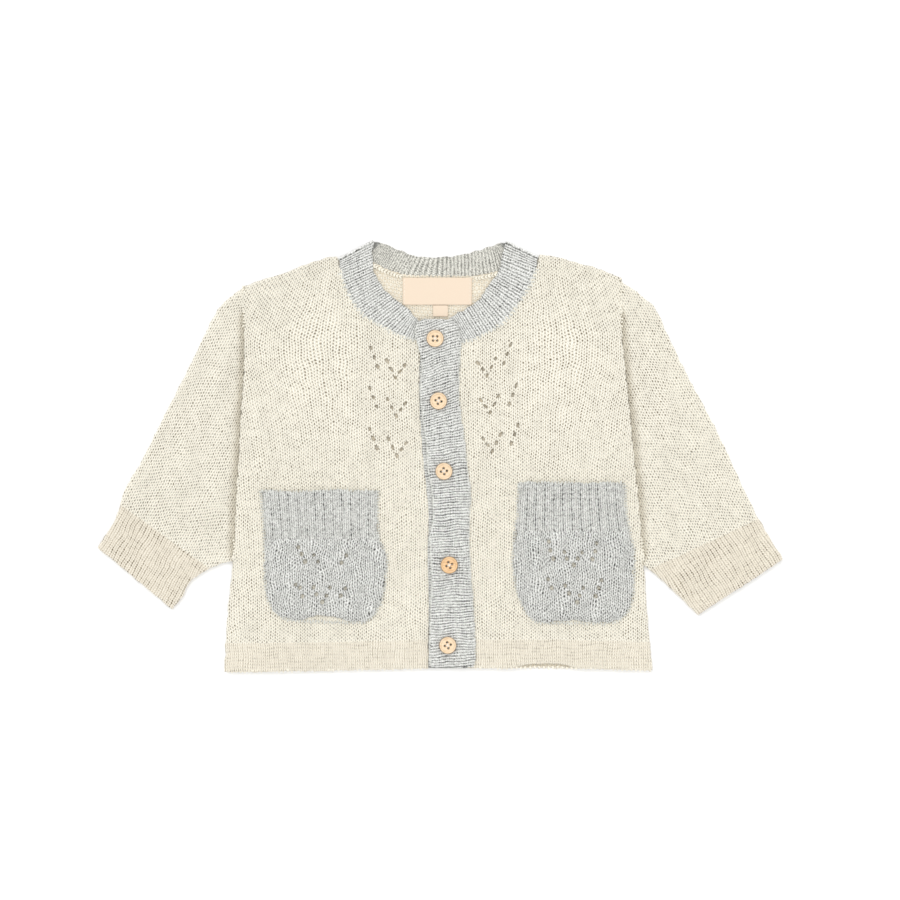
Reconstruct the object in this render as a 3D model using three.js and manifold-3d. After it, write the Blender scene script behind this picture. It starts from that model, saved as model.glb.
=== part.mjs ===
// A baby's knitted cardigan that lies flat with its front up. Millimetres, +Z up.
// x runs from the middle of the neck towards the wearer's left, y is the height above the hem,
// and z is the height above the surface that the garment lies on.
// "left" and "right" in piece names are the wearer's, so the right side has negative x.
// "low" and "high" in the tables are edges at smaller and larger x.

import * as THREE from "three";
import { mergeVertices } from "three/addons/utils/BufferGeometryUtils.js";
import Module from "manifold-3d";

// Driving dimensions
const CLOTH = 2.0; // thickness of the knitted wall
const GAP = 0.3; // space between pieces at seams and between layers
const CURVED_GAP = 0.45; // the same along the armholes and the neckline, which are curved
const RIM = 0.9; // how far the rounding of an edge reaches in
const RIB_DEPTH = 0.5; // groove between two ribs
const RIB_PITCH = 3.7;
const HEM_RIB = 19.5; // height of the ribbed hem
const STRAIGHT_TO = 200; // rows of a panel run level up to here and follow its top edge above
const SHOULDER_HEIGHT = 275; // where the columns of a panel are set out
const SLEEVE_HOLLOW = 0.5; // space inside a flattened sleeve at its edges
const SLEEVE_PUFF = 1.6; // extra height in the middle of a sleeve
const CUFF_SHARE = 0.22; // share of a sleeve's run that its ribbed cuff takes
const ARMHOLE_SHARE = 0.12; // share of it over which the rings turn to lie along the armhole
const BUTTON = { across: 11.8, thick: 2.6, rim: 1.1, dish: 0.5, hole: 1.5, spread: 2.8, sides: 20 };
const EYELET = { wide: 2.7, long: 4.4 };
const TAPE = { low: -25.2, high: 21.6, bottom: 249.6, top: 268.0, thick: 1.0 };
const TAG = { low: -4.8, high: 5.4, bottom: 241.6, top: TAPE.bottom - GAP, thick: 1.0 };

const FRONT_Z = CLOTH + GAP; // the fronts lie on the back
const BAND_Z = FRONT_Z + CLOTH + GAP; // pockets and the top band lie on the fronts
const BUTTON_Z = BAND_Z + CLOTH + GAP;

const CREAM = 0xece5d2;
const GREY = 0xc9cac5;
const WOOD = 0xe3c79c;
const TAPE_COLOUR = 0xf6e6d4;

// Edges of the body. Both layers share the sides and the shoulders.
const BODY_SIDES = [
  { y: 0, low: -146.6, high: 144.6 },
  { y: 41, low: -144.2, high: 140.6 },
  { y: 75, low: -140.8, high: 138.5 },
  { y: 112, low: -139.6, high: 136.2 },
  { y: 147, low: -137.6, high: 132.6 },
  { y: 175, low: -136.0, high: 130.0 },
  { y: 208, low: -133.9, high: 126.4 },
  { y: 238, low: -133.7, high: 123.8 },
  { y: 264.5, low: -133.9, high: 123.2 },
  { y: 284, low: -133.9, high: 123.2 },
];
const HEM_LINE = [
  { x: -147, y: 0 },
  { x: -74, y: 1.2 },
  { x: 0, y: 2.6 },
  { x: 66, y: 2.8 },
  { x: 145, y: 1.2 },
];
const RIGHT_SHOULDER = [
  { x: -134, y: 264.2 },
  { x: -126, y: 265.6 },
  { x: -107, y: 270.6 },
  { x: -90, y: 277.2 },
  { x: -69.8, y: 282.6 },
];
const LEFT_SHOULDER = [
  { x: 67.6, y: 283.8 },
  { x: 89, y: 279.3 },
  { x: 110, y: 272.6 },
  { x: 123.2, y: 265.0 },
];
const BACK_NECK = [
  { x: -68.6, y: 279.0 },
  { x: -57, y: 278.8 },
  { x: -44.4, y: 277.4 },
  { x: -36.6, y: 273.6 },
  { x: -24, y: 269.9 },
  { x: 3.4, y: 268.5 },
  { x: 21, y: 268.9 },
  { x: 39.4, y: 272.0 },
  { x: 54, y: 277.4 },
  { x: 66.6, y: 280.0 },
];
const RIGHT_FRONT_NECK = [
  { x: -68.2, y: 272.8 },
  { x: -65.3, y: 264.5 },
  { x: -62.1, y: 256.2 },
  { x: -57.4, y: 248.3 },
  { x: -51.1, y: 241.5 },
  { x: -41.8, y: 235.9 },
  { x: -32.4, y: 230.6 },
  { x: -23.0, y: 226.9 },
  { x: -14.0, y: 225.2 },
];
const LEFT_FRONT_NECK = [
  { x: 11.0, y: 222.6 },
  { x: 18.2, y: 224.4 },
  { x: 25.0, y: 226.8 },
  { x: 33.3, y: 230.6 },
  { x: 41.6, y: 236.4 },
  { x: 49.9, y: 245.0 },
  { x: 56.2, y: 254.0 },
  { x: 61.4, y: 263.0 },
  { x: 66.0, y: 274.6 },
];

// The front bands. The top band laps over the button band, which shows as a thin strip.
const TOP_BAND = [
  { y: 3.6, low: -6.4, high: 22.8 },
  { y: 11, low: -7.0, high: 24.0 },
  { y: 44, low: -6.3, high: 22.6 },
  { y: 62, low: -5.6, high: 21.2 },
  { y: 90, low: -7.0, high: 19.8 },
  { y: 106, low: -4.6, high: 19.8 },
  { y: 121, low: -5.2, high: 20.9 },
  { y: 137, low: -8.0, high: 18.5 },
  { y: 154, low: -9.2, high: 16.9 },
  { y: 192, low: -13.4, high: 12.8 },
  { y: 209, low: -12.4, high: 13.1 },
  { y: 220, low: -14.2, high: 13.9 },
  { y: 230, low: -16.8, high: 13.4 },
  { y: 236, low: -15.4, high: 9.6 },
  { y: 240.6, low: -9.5, high: 6.6 },
];
const BUTTON_BAND_SEAM = [
  { y: 0, x: -8.2 },
  { y: 48, x: -8.0 },
  { y: 80, x: -8.8 },
  { y: 106, x: -8.0 },
  { y: 121, x: -9.2 },
  { y: 151, x: -12.4 },
  { y: 190, x: -14.4 },
  { y: 238, x: -13.4 },
];
const BAND_LAP = 2.4; // how far the top band covers the left front's edge
const UNDERLAP_GAP = 1.5; // from the button band's hidden edge to the left front
const BUTTON_BAND_NECK = [
  { y: 222, high: 10.0 },
  { y: 238.2, high: 4.4 },
];

// Outlines of the sleeves, from the body to the end of the cuff.
const RIGHT_SLEEVE = {
  body: "low",
  over: [
    { at: 0, x: -134.3, y: 263.6 },
    { at: 0.05, x: -138.4, y: 258.2 },
    { at: 0.13, x: -150.3, y: 246.0 },
    { at: 0.2, x: -158.4, y: 231.9 },
    { at: 0.38, x: -175.4, y: 197.2 },
    { at: 0.52, x: -188.0, y: 172.7 },
    { at: 0.66, x: -202.0, y: 144.8 },
    { at: 0.78, x: -214.9, y: 121.7 },
    { at: 0.86, x: -219.6, y: 106.0 },
    { at: 1, x: -232.6, y: 85.0 },
  ],
  under: [
    { at: 0, x: -141.1, y: 75.5 },
    { at: 0.3, x: -146.8, y: 74.4 },
    { at: 0.5, x: -157.1, y: 70.0 },
    { at: 0.66, x: -165.9, y: 64.9 },
    { at: 0.78, x: -171.0, y: 59.4 },
    { at: 0.88, x: -174.6, y: 52.0 },
    { at: 1, x: -181.8, y: 43.0 },
  ],
};
const LEFT_SLEEVE = {
  body: "high",
  over: [
    { at: 0, x: 123.6, y: 264.4 },
    { at: 0.07, x: 136.7, y: 257.4 },
    { at: 0.14, x: 146.9, y: 246.2 },
    { at: 0.22, x: 154.4, y: 229.8 },
    { at: 0.38, x: 167.0, y: 204.0 },
    { at: 0.56, x: 184.0, y: 172.0 },
    { at: 0.7, x: 197.2, y: 144.8 },
    { at: 0.8, x: 206.6, y: 124.0 },
    { at: 0.88, x: 218.4, y: 101.0 },
    { at: 1, x: 233.2, y: 76.8 },
  ],
  under: [
    { at: 0, x: 138.8, y: 72.8 },
    { at: 0.4, x: 146.6, y: 66.0 },
    { at: 0.66, x: 154.6, y: 59.2 },
    { at: 0.82, x: 161.8, y: 51.9 },
    { at: 1, x: 175.4, y: 39.1 },
  ],
};
// Rows of a panel: 0 is the hem, 1 is STRAIGHT_TO and 2 is the top edge.
const PLAIN_LEVELS = [0.11, 0.2, 0.31, 0.42, 0.53, 0.64, 0.76, 0.88];
const SHAPED_LEVELS = [1, 1.2, 1.4, 1.6, 1.8, 1.94, 1.985, 2];
const PLAIN_COLUMNS = 9;
const BACK_CORNERS = [
  -107, -88, -69.8, -68.6, -57, -48, -42, -36, -27, -17, -7, 3, 12, 21, 32, 41, 52, 66.6, 67.6,
  89, 108,
];
const RIGHT_CORNERS = [-112, -90, -69.8, -68.2, -65.3, -62, -58.5, -54, -48, -41, -33, -24];
const LEFT_CORNERS = [18.2, 26, 34, 42, 48, 53, 58, 61.4, 66, 67.6, 86, 106];
// Rings of a sleeve, from the armhole to the cuff.
const SLEEVE_STEPS = [0, 0.03, 0.1, 0.18, 0.28, 0.4, 0.52, 0.64, 0.75];

// The neckband: where its sewn edge meets the neckline, and its free edge.
const SHOULDER_FOLD = {
  right: { seamX: -67.6, seamY: 280.0, freeX: -44.8, freeY: 292.0 },
  left: { seamX: 65.6, seamY: 281.0, freeX: 44.2, freeY: 291.6 },
};
const NECK_RIGHT = [
  { seamX: -68.2, freeX: -46.0, freeY: 282.6 },
  { seamX: -65.3, freeX: -44.9, freeY: 273.6 },
  { seamX: -62.1, freeX: -42.3, freeY: 266.6 },
  { seamX: -57.4, freeX: -38.0, freeY: 260.4 },
  { seamX: -51.1, freeX: -32.0, freeY: 254.8 },
  { seamX: -41.8, freeX: -25.2, freeY: 249.8 },
  { seamX: -32.4, freeX: -19.6, freeY: 244.2 },
  { seamX: -23.0, freeX: -15.8, freeY: 240.4 },
  { seamX: -14.0, freeX: -13.7, freeY: 238.4 },
];
const NECK_BACK = [
  { seamX: -57.0, freeX: -41.6, freeY: 292.0 },
  { seamX: -44.4, freeX: -36.2, freeY: 290.4 },
  { seamX: -36.6, freeX: -28.8, freeY: 287.0 },
  { seamX: -24.0, freeX: -16.8, freeY: 283.0 },
  { seamX: 3.4, freeX: 3.4, freeY: 281.9 },
  { seamX: 21.0, freeX: 20.8, freeY: 285.2 },
  { seamX: 39.4, freeX: 35.2, freeY: 289.4 },
  { seamX: 54.0, freeX: 41.2, freeY: 291.8 },
];
const NECK_LEFT = [
  { seamX: 65.8, freeX: 42.0, freeY: 283.0 },
  { seamX: 61.4, freeX: 40.2, freeY: 273.4 },
  { seamX: 56.2, freeX: 36.0, freeY: 266.6 },
  { seamX: 49.9, freeX: 31.0, freeY: 260.0 },
  { seamX: 41.6, freeX: 27.0, freeY: 253.6 },
  { seamX: 33.3, freeX: 21.4, freeY: 248.9 },
  { seamX: 25.0, freeX: 13.6, freeY: 244.8 },
  { seamX: 18.2, freeX: 8.4, freeY: 241.8 },
  { seamX: 11.0, freeX: 5.0, freeY: 239.6 },
];
const NECK_RIBS = { front: 21, back: 32 };

const RIGHT_POCKET = [
  { y: 35.4, low: -99.0, high: -54.0 },
  { y: 37.6, low: -106.6, high: -47.6 },
  { y: 46, low: -115.0, high: -41.2 },
  { y: 58, low: -117.8, high: -38.2 },
  { y: 79, low: -118.8, high: -38.4 },
  { y: 93, low: -119.3, high: -42.4 },
  { y: 111, low: -120.4, high: -42.8 },
  { y: 123.4, low: -121.8, high: -42.4 },
];
const LEFT_POCKET = [
  { y: 33.8, low: 70.0, high: 113.0 },
  { y: 35.6, low: 63.6, high: 121.0 },
  { y: 44, low: 57.6, high: 128.0 },
  { y: 56, low: 52.4, high: 131.0 },
  { y: 75.5, low: 51.0, high: 130.8 },
  { y: 99, low: 52.2, high: 127.4 },
  { y: 116, low: 53.2, high: 125.4 },
  { y: 129.0, low: 53.8, high: 124.6 },
];
const POCKET_RIB = { height: 33, pitch: 5.9 };
const POCKET_RISES = [0, 0.9, 2.4, 6, 11, 18, 28, 40]; // heights of its lower rows above its edge
const BAND_STEPS = 44; // rows of a front band's plain faces

const BUTTONS = [
  { x: -3.3, y: 226.6, turn: 45 },
  { x: -1.0, y: 184.3, turn: 78 },
  { x: 2.7, y: 136.6, turn: 8 },
  { x: 6.3, y: 73.0, turn: 20 },
  { x: 5.3, y: 18.6, turn: 12 },
];

// Lace on the fronts: in each row a slanted leg of holes, then a V nearer the middle.
// "out" is the distance from x = 0 and "top" the height of the leg's or the V's first hole.
const LACE_ROWS = [
  { side: -1, legOut: 47.0, legTop: 220.3, veeOut: 36.0, veeTop: 211.5 },
  { side: -1, legOut: 47.6, legTop: 193.1, veeOut: 35.6, veeTop: 185.6 },
  { side: -1, legOut: 47.6, legTop: 165.2, veeOut: 35.0, veeTop: 158.6 },
  { side: 1, legOut: 48.0, legTop: 222.6, veeOut: 37.8, veeTop: 213.0 },
  { side: 1, legOut: 51.7, legTop: 194.8, veeOut: 39.8, veeTop: 187.8 },
  { side: 1, legOut: 53.0, legTop: 168.0, veeOut: 41.2, veeTop: 161.6 },
];
const LEG_STEP = { out: -2.3, up: -6.3, holes: 3 };
const VEE_DOWN = { out: -2.9, up: -5.7, holes: 3 };
const VEE_UP = { out: -3.1, up: 4.2, holes: 2 };

// Soft folds as ridges of the cloth. "turn" is the ridge's direction in degrees from +x,
// "long" and "wide" are how far it reaches along and across, "lift" is its height.
const FRONT_FOLDS = [
  { x: -86, y: 188, turn: 78, long: 62, wide: 26, lift: 0.9 },
  { x: 84, y: 184, turn: 100, long: 58, wide: 25, lift: 0.8 },
  { x: -124, y: 131, turn: 118, long: 11, wide: 4, lift: 0.9 },
  { x: -131, y: 168, turn: 92, long: 62, wide: 7, lift: 0.8 },
  { x: 125, y: 172, turn: 86, long: 62, wide: 7, lift: 0.8 },
  { x: 73, y: 3, turn: 0, long: 24, wide: 10, lift: 1.7 },
  { x: -100, y: 6, turn: 4, long: 26, wide: 12, lift: 0.5 },
  { x: -80, y: 66, turn: 90, long: 30, wide: 26, lift: 0.7 },
  { x: 92, y: 66, turn: 90, long: 32, wide: 26, lift: 0.8 },
  { x: 4, y: 98, turn: 90, long: 24, wide: 16, lift: 0.6 },
  { x: 0, y: 206, turn: 90, long: 14, wide: 14, lift: 0.4 },
];
const SLEEVE_FOLDS = [
  { x: -141, y: 206, turn: 92, long: 46, wide: 6, lift: -0.9 },
  { x: 133, y: 206, turn: 88, long: 46, wide: 6, lift: -0.9 },
  { x: 167, y: 55, turn: -50, long: 16, wide: 4, lift: -0.9 },
  { x: 176, y: 106, turn: 35, long: 12, wide: 5, lift: 0.6 },
  { x: -196, y: 118, turn: 50, long: 20, wide: 7, lift: 0.5 },
  { x: -168, y: 84, turn: 20, long: 14, wide: 6, lift: -0.5 },
  { x: 160, y: 96, turn: -20, long: 16, wide: 7, lift: -0.4 },
];

const mix = (a, b, share) => a + (b - a) * share;
const radians = (degrees) => (degrees * Math.PI) / 180;

// A smooth function from one column of a table to another that never overshoots its rows.
function through(rows, from, to) {
  const a = rows.map((row) => row[from]);
  const b = rows.map((row) => row[to]);
  const last = a.length - 1;
  const secant = a.slice(1).map((v, i) => (b[i + 1] - b[i]) / (v - a[i]));
  const slope = a.map((_, i) => {
    if (i === 0) return secant[0];
    if (i === last) return secant[last - 1];
    const product = secant[i - 1] * secant[i];
    return product <= 0 ? 0 : (2 * product) / (secant[i - 1] + secant[i]);
  });
  return (at) => {
    if (at <= a[0]) return b[0];
    if (at >= a[last]) return b[last];
    const i = a.findIndex((v, k) => k < last && at <= a[k + 1]);
    const span = a[i + 1] - a[i];
    const t = (at - a[i]) / span;
    const ease = t * t * (3 - 2 * t);
    const bend = t * (1 - t) * span * (slope[i] * (1 - t) - slope[i + 1] * t);
    return mix(b[i], b[i + 1], ease) + bend;
  };
}

// The height of the folds of a table at a place.
function foldsAt(folds, x, y) {
  let height = 0;
  for (const fold of folds) {
    const angle = radians(fold.turn);
    const dx = x - fold.x;
    const dy = y - fold.y;
    const along = (dx * Math.cos(angle) + dy * Math.sin(angle)) / fold.long;
    const across = (dy * Math.cos(angle) - dx * Math.sin(angle)) / fold.wide;
    height += fold.lift * Math.exp(-along * along - across * across);
  }
  return height;
}

const drape = (x, y) => Math.max(0, foldsAt(FRONT_FOLDS, x, y));

// Depth below the crest at a place counted in ribs: a whole number is a crest.
const groove = (ribs) => RIB_DEPTH * (0.5 - 0.5 * Math.cos(2 * Math.PI * ribs));

// Shares from 0 to 1 in equal steps.
const shares = (steps) => Array.from({ length: steps + 1 }, (_, i) => i / steps);

// Adds the triangles between two lines of points that run the same way. The side they show
// is the one from which "near", then "far", lie anticlockwise. The lines may differ in count.
function zip(triangles, near, far) {
  const length = (line) => {
    const steps = [0];
    for (let i = 1; i < line.length; i++) {
      steps.push(steps[i - 1] + line[i].distanceTo(line[i - 1]));
    }
    return steps.map((v) => v / (steps[steps.length - 1] || 1));
  };
  const a = length(near);
  const b = length(far);
  let i = 0;
  let j = 0;
  while (i < near.length - 1 || j < far.length - 1) {
    const useNear = j === far.length - 1 || (i < near.length - 1 && a[i + 1] <= b[j + 1]);
    if (useNear) {
      triangles.push([near[i], near[i + 1], far[j]]);
      i++;
    } else {
      triangles.push([near[i], far[j + 1], far[j]]);
      j++;
    }
  }
}

function between(near, far) {
  const triangles = [];
  zip(triangles, near, far);
  return triangles;
}

// A closed geometry from triangles. Those that have shrunk to a line are dropped.
function closed(triangles) {
  const real = triangles.filter(
    ([a, b, c]) => a.distanceTo(b) > 1e-3 && b.distanceTo(c) > 1e-3 && c.distanceTo(a) > 1e-3,
  );
  const positions = real.flatMap((points) => points.flatMap((p) => [p.x, p.y, p.z]));
  const geometry = new THREE.BufferGeometry();
  geometry.setAttribute("position", new THREE.Float32BufferAttribute(positions, 3));
  return mergeVertices(geometry, 1e-3);
}

const flipped = (triangles) => triangles.map(([a, b, c]) => [a, c, b]);

// A wall of cloth. Each row has its places on the upper face and on the underside, from low x
// to high x, and rows go up in y. The outline lies at half height, and there both lists agree.
function sheet(rows, under, upper) {
  const line = (places, height, end) =>
    places.map(([x, y], i) => {
      const rim = end || i === 0 || i === places.length - 1;
      const middle = (under(x, y) + upper(x, y, true)) / 2;
      return new THREE.Vector3(x, y, rim ? middle : height(x, y, false));
    });
  const isEnd = (r) => r === 0 || r === rows.length - 1;
  const tops = rows.map((row, r) => line(row.top, upper, isEnd(r)));
  const bottoms = rows.map((row, r) => line(row.bottom, under, isEnd(r)));
  const upward = [];
  const downward = [];
  for (let r = 1; r < rows.length; r++) {
    zip(upward, tops[r - 1], tops[r]);
    zip(downward, bottoms[r - 1], bottoms[r]);
  }
  return closed([...upward, ...flipped(downward)]);
}

const both = (places) => ({ top: places, bottom: places });

// Places of one row between two edges, with one more point at each end where the rim stops.
function rowBetween(low, high, y, steps) {
  const rim = Math.min(RIM / (high - low), 0.3);
  const inner = shares(steps).filter((s) => s > rim * 1.3 && s < 1 - rim * 1.3);
  return [0, rim, ...inner, 1 - rim, 1].map((s) => [mix(low, high, s), y]);
}

// A panel of the body between two side edges, from the hem line up to a top edge. "corners"
// are the columns, as x at the shoulder. With ribs, the upper face of the hem is grooved.
function panel(low, high, top, corners, ribs, under, crest) {
  const hem = through(HEM_LINE, "x", "y");
  const start = low(SHOULDER_HEIGHT);
  const width = high(SHOULDER_HEIGHT) - start;
  const columns = corners.map((x) => (x - start) / width);
  const place = (share, level) => {
    let y = STRAIGHT_TO * Math.min(level, 1);
    for (let pass = 0; pass < 6; pass++) {
      const x = mix(low(y), high(y), share);
      y = level <= 1 ? mix(hem(x), STRAIGHT_TO, level) : mix(STRAIGHT_TO, top(x), level - 1);
    }
    return [mix(low(y), high(y), share), y];
  };
  const rim = RIM / width;
  const dense = [0, rim, ...columns, 1 - rim, 1];
  const plain = [0, rim, ...shares(PLAIN_COLUMNS).slice(1, -1), 1 - rim, 1];
  const ribbed = [0, rim, ...shares(2 * ribs).slice(1, -1), 1 - rim, 1];
  const across = (list, level) => list.map((share) => place(share, level));
  const ribTop = HEM_RIB / STRAIGHT_TO;
  const rows = [both(across(plain, 0))];
  for (const level of ribs > 0 ? [RIM / STRAIGHT_TO, ribTop] : [RIM / STRAIGHT_TO]) {
    rows.push({ top: across(ribs > 0 ? ribbed : plain, level), bottom: across(plain, level) });
  }
  for (const level of PLAIN_LEVELS) rows.push(both(across(plain, level)));
  for (const level of SHAPED_LEVELS) rows.push(both(across(dense, level)));
  const upper = (x, y, rimPoint) => {
    if (rimPoint || ribs === 0 || y > HEM_RIB + 3) return crest(x, y);
    const share = (x - low(y)) / (high(y) - low(y));
    return crest(x, y) - groove(ribs * share);
  };
  return sheet(rows, under, upper);
}

// Cuts upright holes through a geometry. Each hole has its own middle, size and turn.
const wasm = await Module();
wasm.setup();
function solidOf(geometry) {
  const bare = mergeVertices(geometry, 1e-3);
  return new wasm.Manifold(
    new wasm.Mesh({
      numProp: 3,
      vertProperties: new Float32Array(bare.attributes.position.array),
      triVerts: new Uint32Array(bare.index.array),
    }),
  );
}
function pierced(geometry, holes, sides) {
  let solid = solidOf(geometry);
  for (const hole of holes) {
    const cutter = new THREE.CylinderGeometry(0.5, 0.5, 40, sides);
    cutter.deleteAttribute("normal");
    cutter.deleteAttribute("uv");
    cutter.rotateX(Math.PI / 2);
    cutter.scale(hole.wide, hole.long, 1);
    cutter.rotateZ(radians(hole.turn));
    cutter.translate(hole.x, hole.y, 0);
    solid = solid.subtract(solidOf(cutter));
  }
  const cut = solid.getMesh();
  const result = new THREE.BufferGeometry();
  const positions = new Float32Array(cut.numVert * 3);
  for (let i = 0; i < cut.numVert; i++) {
    const start = i * cut.numProp;
    positions.set(cut.vertProperties.subarray(start, start + 3), i * 3);
  }
  result.setAttribute("position", new THREE.BufferAttribute(positions, 3));
  result.setIndex(new THREE.BufferAttribute(cut.triVerts, 1));
  return result;
}

// The lace holes of one front, worked out row by row.
function laceHoles(side) {
  const holes = [];
  for (const row of LACE_ROWS.filter((r) => r.side === side)) {
    const run = (out, up, step, first) => {
      const turn = radians(90) - Math.atan2(step.up, step.out * side);
      for (let k = first; k < step.holes + first; k++) {
        holes.push({
          x: side * (out + k * step.out),
          y: up + k * step.up,
          wide: EYELET.wide,
          long: EYELET.long,
          turn: (-turn * 180) / Math.PI,
        });
      }
    };
    run(row.legOut, row.legTop, LEG_STEP, 0);
    run(row.veeOut, row.veeTop, VEE_DOWN, 0);
    const foot = VEE_DOWN.holes - 1;
    run(row.veeOut + foot * VEE_DOWN.out, row.veeTop + foot * VEE_DOWN.up, VEE_UP, 1);
  }
  return holes;
}

// Top edges of the panels, with the shoulders and the neckline.
const backTop = through([...RIGHT_SHOULDER, ...BACK_NECK, ...LEFT_SHOULDER], "x", "y");
const frontTop = (side) =>
  side < 0
    ? through([...RIGHT_SHOULDER, ...RIGHT_FRONT_NECK], "x", "y")
    : through([...LEFT_FRONT_NECK, ...LEFT_SHOULDER], "x", "y");

// Inner edges of the fronts.
const bandSeam = through(BUTTON_BAND_SEAM, "y", "x");
const topBandEdge = through(TOP_BAND, "y", "high");
const leftFrontEdge = (y) => topBandEdge(Math.min(y, 225)) - BAND_LAP;

function backPanel() {
  const low = through(BODY_SIDES, "y", "low");
  const high = through(BODY_SIDES, "y", "high");
  return panel(low, high, backTop, BACK_CORNERS, 0, () => 0, () => CLOTH);
}

// One front. Its inner edge is the seam of its band.
function frontPanel(side, inner) {
  const outer = through(BODY_SIDES, "y", side < 0 ? "low" : "high");
  const [low, high] = side < 0 ? [outer, inner] : [inner, outer];
  const corners = side < 0 ? RIGHT_CORNERS : LEFT_CORNERS;
  const ribs = Math.round((high(0) - low(0)) / RIB_PITCH);
  const under = (x, y) => FRONT_Z + drape(x, y);
  const crest = (x, y) => FRONT_Z + CLOTH + drape(x, y);
  const whole = panel(low, high, frontTop(side), corners, ribs, under, crest);
  return pierced(whole, laceHoles(side), 6);
}

// A flattened sleeve tube. Its rings run from the upper fold to the lower fold, and go from
// the armhole line to the end of the cuff.
function sleeve(side, cut) {
  const edge = (rows, key) => through(rows, "at", key);
  const over = { x: edge(cut.over, "x"), y: edge(cut.over, "y") };
  const under = { x: edge(cut.under, "x"), y: edge(cut.under, "y") };
  const bodyEdge = through(BODY_SIDES, "y", cut.body);
  const place = (share, at) => {
    const y = mix(under.y(at), over.y(at), share);
    const straight = mix(under.x(at), over.x(at), share);
    const seam = bodyEdge(y) + side * CURVED_GAP;
    return [mix(straight, seam, Math.max(0, 1 - at / ARMHOLE_SHARE) ** 2), y];
  };
  const length = (at) =>
    Math.hypot(over.x(at) - under.x(at), over.y(at) - under.y(at));
  const cuffRibs = Math.round(length(1) / RIB_PITCH);
  const plainRings = SLEEVE_STEPS.map((at) => ({ at, ribs: 0 }));
  const cuffRings = [1, 0.5, 0.04, 0].map((left) => ({
    at: 1 - left * CUFF_SHARE,
    ribs: cuffRibs,
  }));
  const rings = [...plainRings, ...cuffRings];
  const half = CLOTH + SLEEVE_HOLLOW / 2;
  const outerTop = [];
  const outerBottom = [];
  const innerTop = [];
  const innerBottom = [];
  for (const { at, ribs } of rings) {
    const span = length(at);
    const rim = (half * 0.8) / span;
    const wall = CLOTH / span;
    const steps = shares(ribs > 0 ? 2 * ribs : 9).filter((s) => s > rim * 1.2 && s < 1 - rim * 1.2);
    const crown = (s) => {
      const [x, y] = place(s, at);
      const end = Math.min(1, at / 0.08, (1.04 - at) / 0.12);
      const puff = SLEEVE_PUFF * Math.sin(Math.PI * s) ** 0.7 * Math.max(0.25, end);
      return Math.max(0, puff + foldsAt(SLEEVE_FOLDS, x, y) * Math.min(1, 6 * s * (1 - s)));
    };
    const point = (s, z) => {
      const [x, y] = place(s, at);
      return new THREE.Vector3(x, y, z);
    };
    const faceShares = [rim, ...steps, 1 - rim];
    const topZ = (s) =>
      2 * CLOTH + SLEEVE_HOLLOW + crown(s) - (ribs > 0 ? groove(ribs * s) : 0);
    const plain = [rim, 0.2, 0.4, 0.6, 0.8, 1 - rim];
    const innerShares = [wall * 1.3, 0.25, 0.5, 0.75, 1 - wall * 1.3];
    const foldPoints = [point(0, half), point(1, half)];
    const innerFolds = [point(wall, half), point(1 - wall, half)];
    outerTop.push([foldPoints[0], ...faceShares.map((s) => point(s, topZ(s))), foldPoints[1]]);
    outerBottom.push([foldPoints[0], ...plain.map((s) => point(s, 0)), foldPoints[1]]);
    const ceiling = (s) => CLOTH + SLEEVE_HOLLOW + crown(s) * 0.9;
    innerTop.push([
      innerFolds[0],
      ...innerShares.map((s) => point(s, ceiling(s))),
      innerFolds[1],
    ]);
    innerBottom.push([innerFolds[0], ...innerShares.map((s) => point(s, CLOTH)), innerFolds[1]]);
  }
  const outward = [];
  const last = rings.length - 1;
  for (let r = 1; r <= last; r++) {
    zip(outward, outerTop[r - 1], outerTop[r]);
    outward.push(...flipped(between(outerBottom[r - 1], outerBottom[r])));
    outward.push(...flipped(between(innerTop[r - 1], innerTop[r])));
    zip(outward, innerBottom[r - 1], innerBottom[r]);
  }
  // End faces, from the outer ring to the inner one.
  outward.push(...flipped(between(outerTop[0], innerTop[0])));
  outward.push(...between(outerBottom[0], innerBottom[0]));
  outward.push(...between(outerTop[last], innerTop[last]));
  outward.push(...flipped(between(outerBottom[last], innerBottom[last])));
  return closed(side < 0 ? outward : flipped(outward));
}

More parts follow.
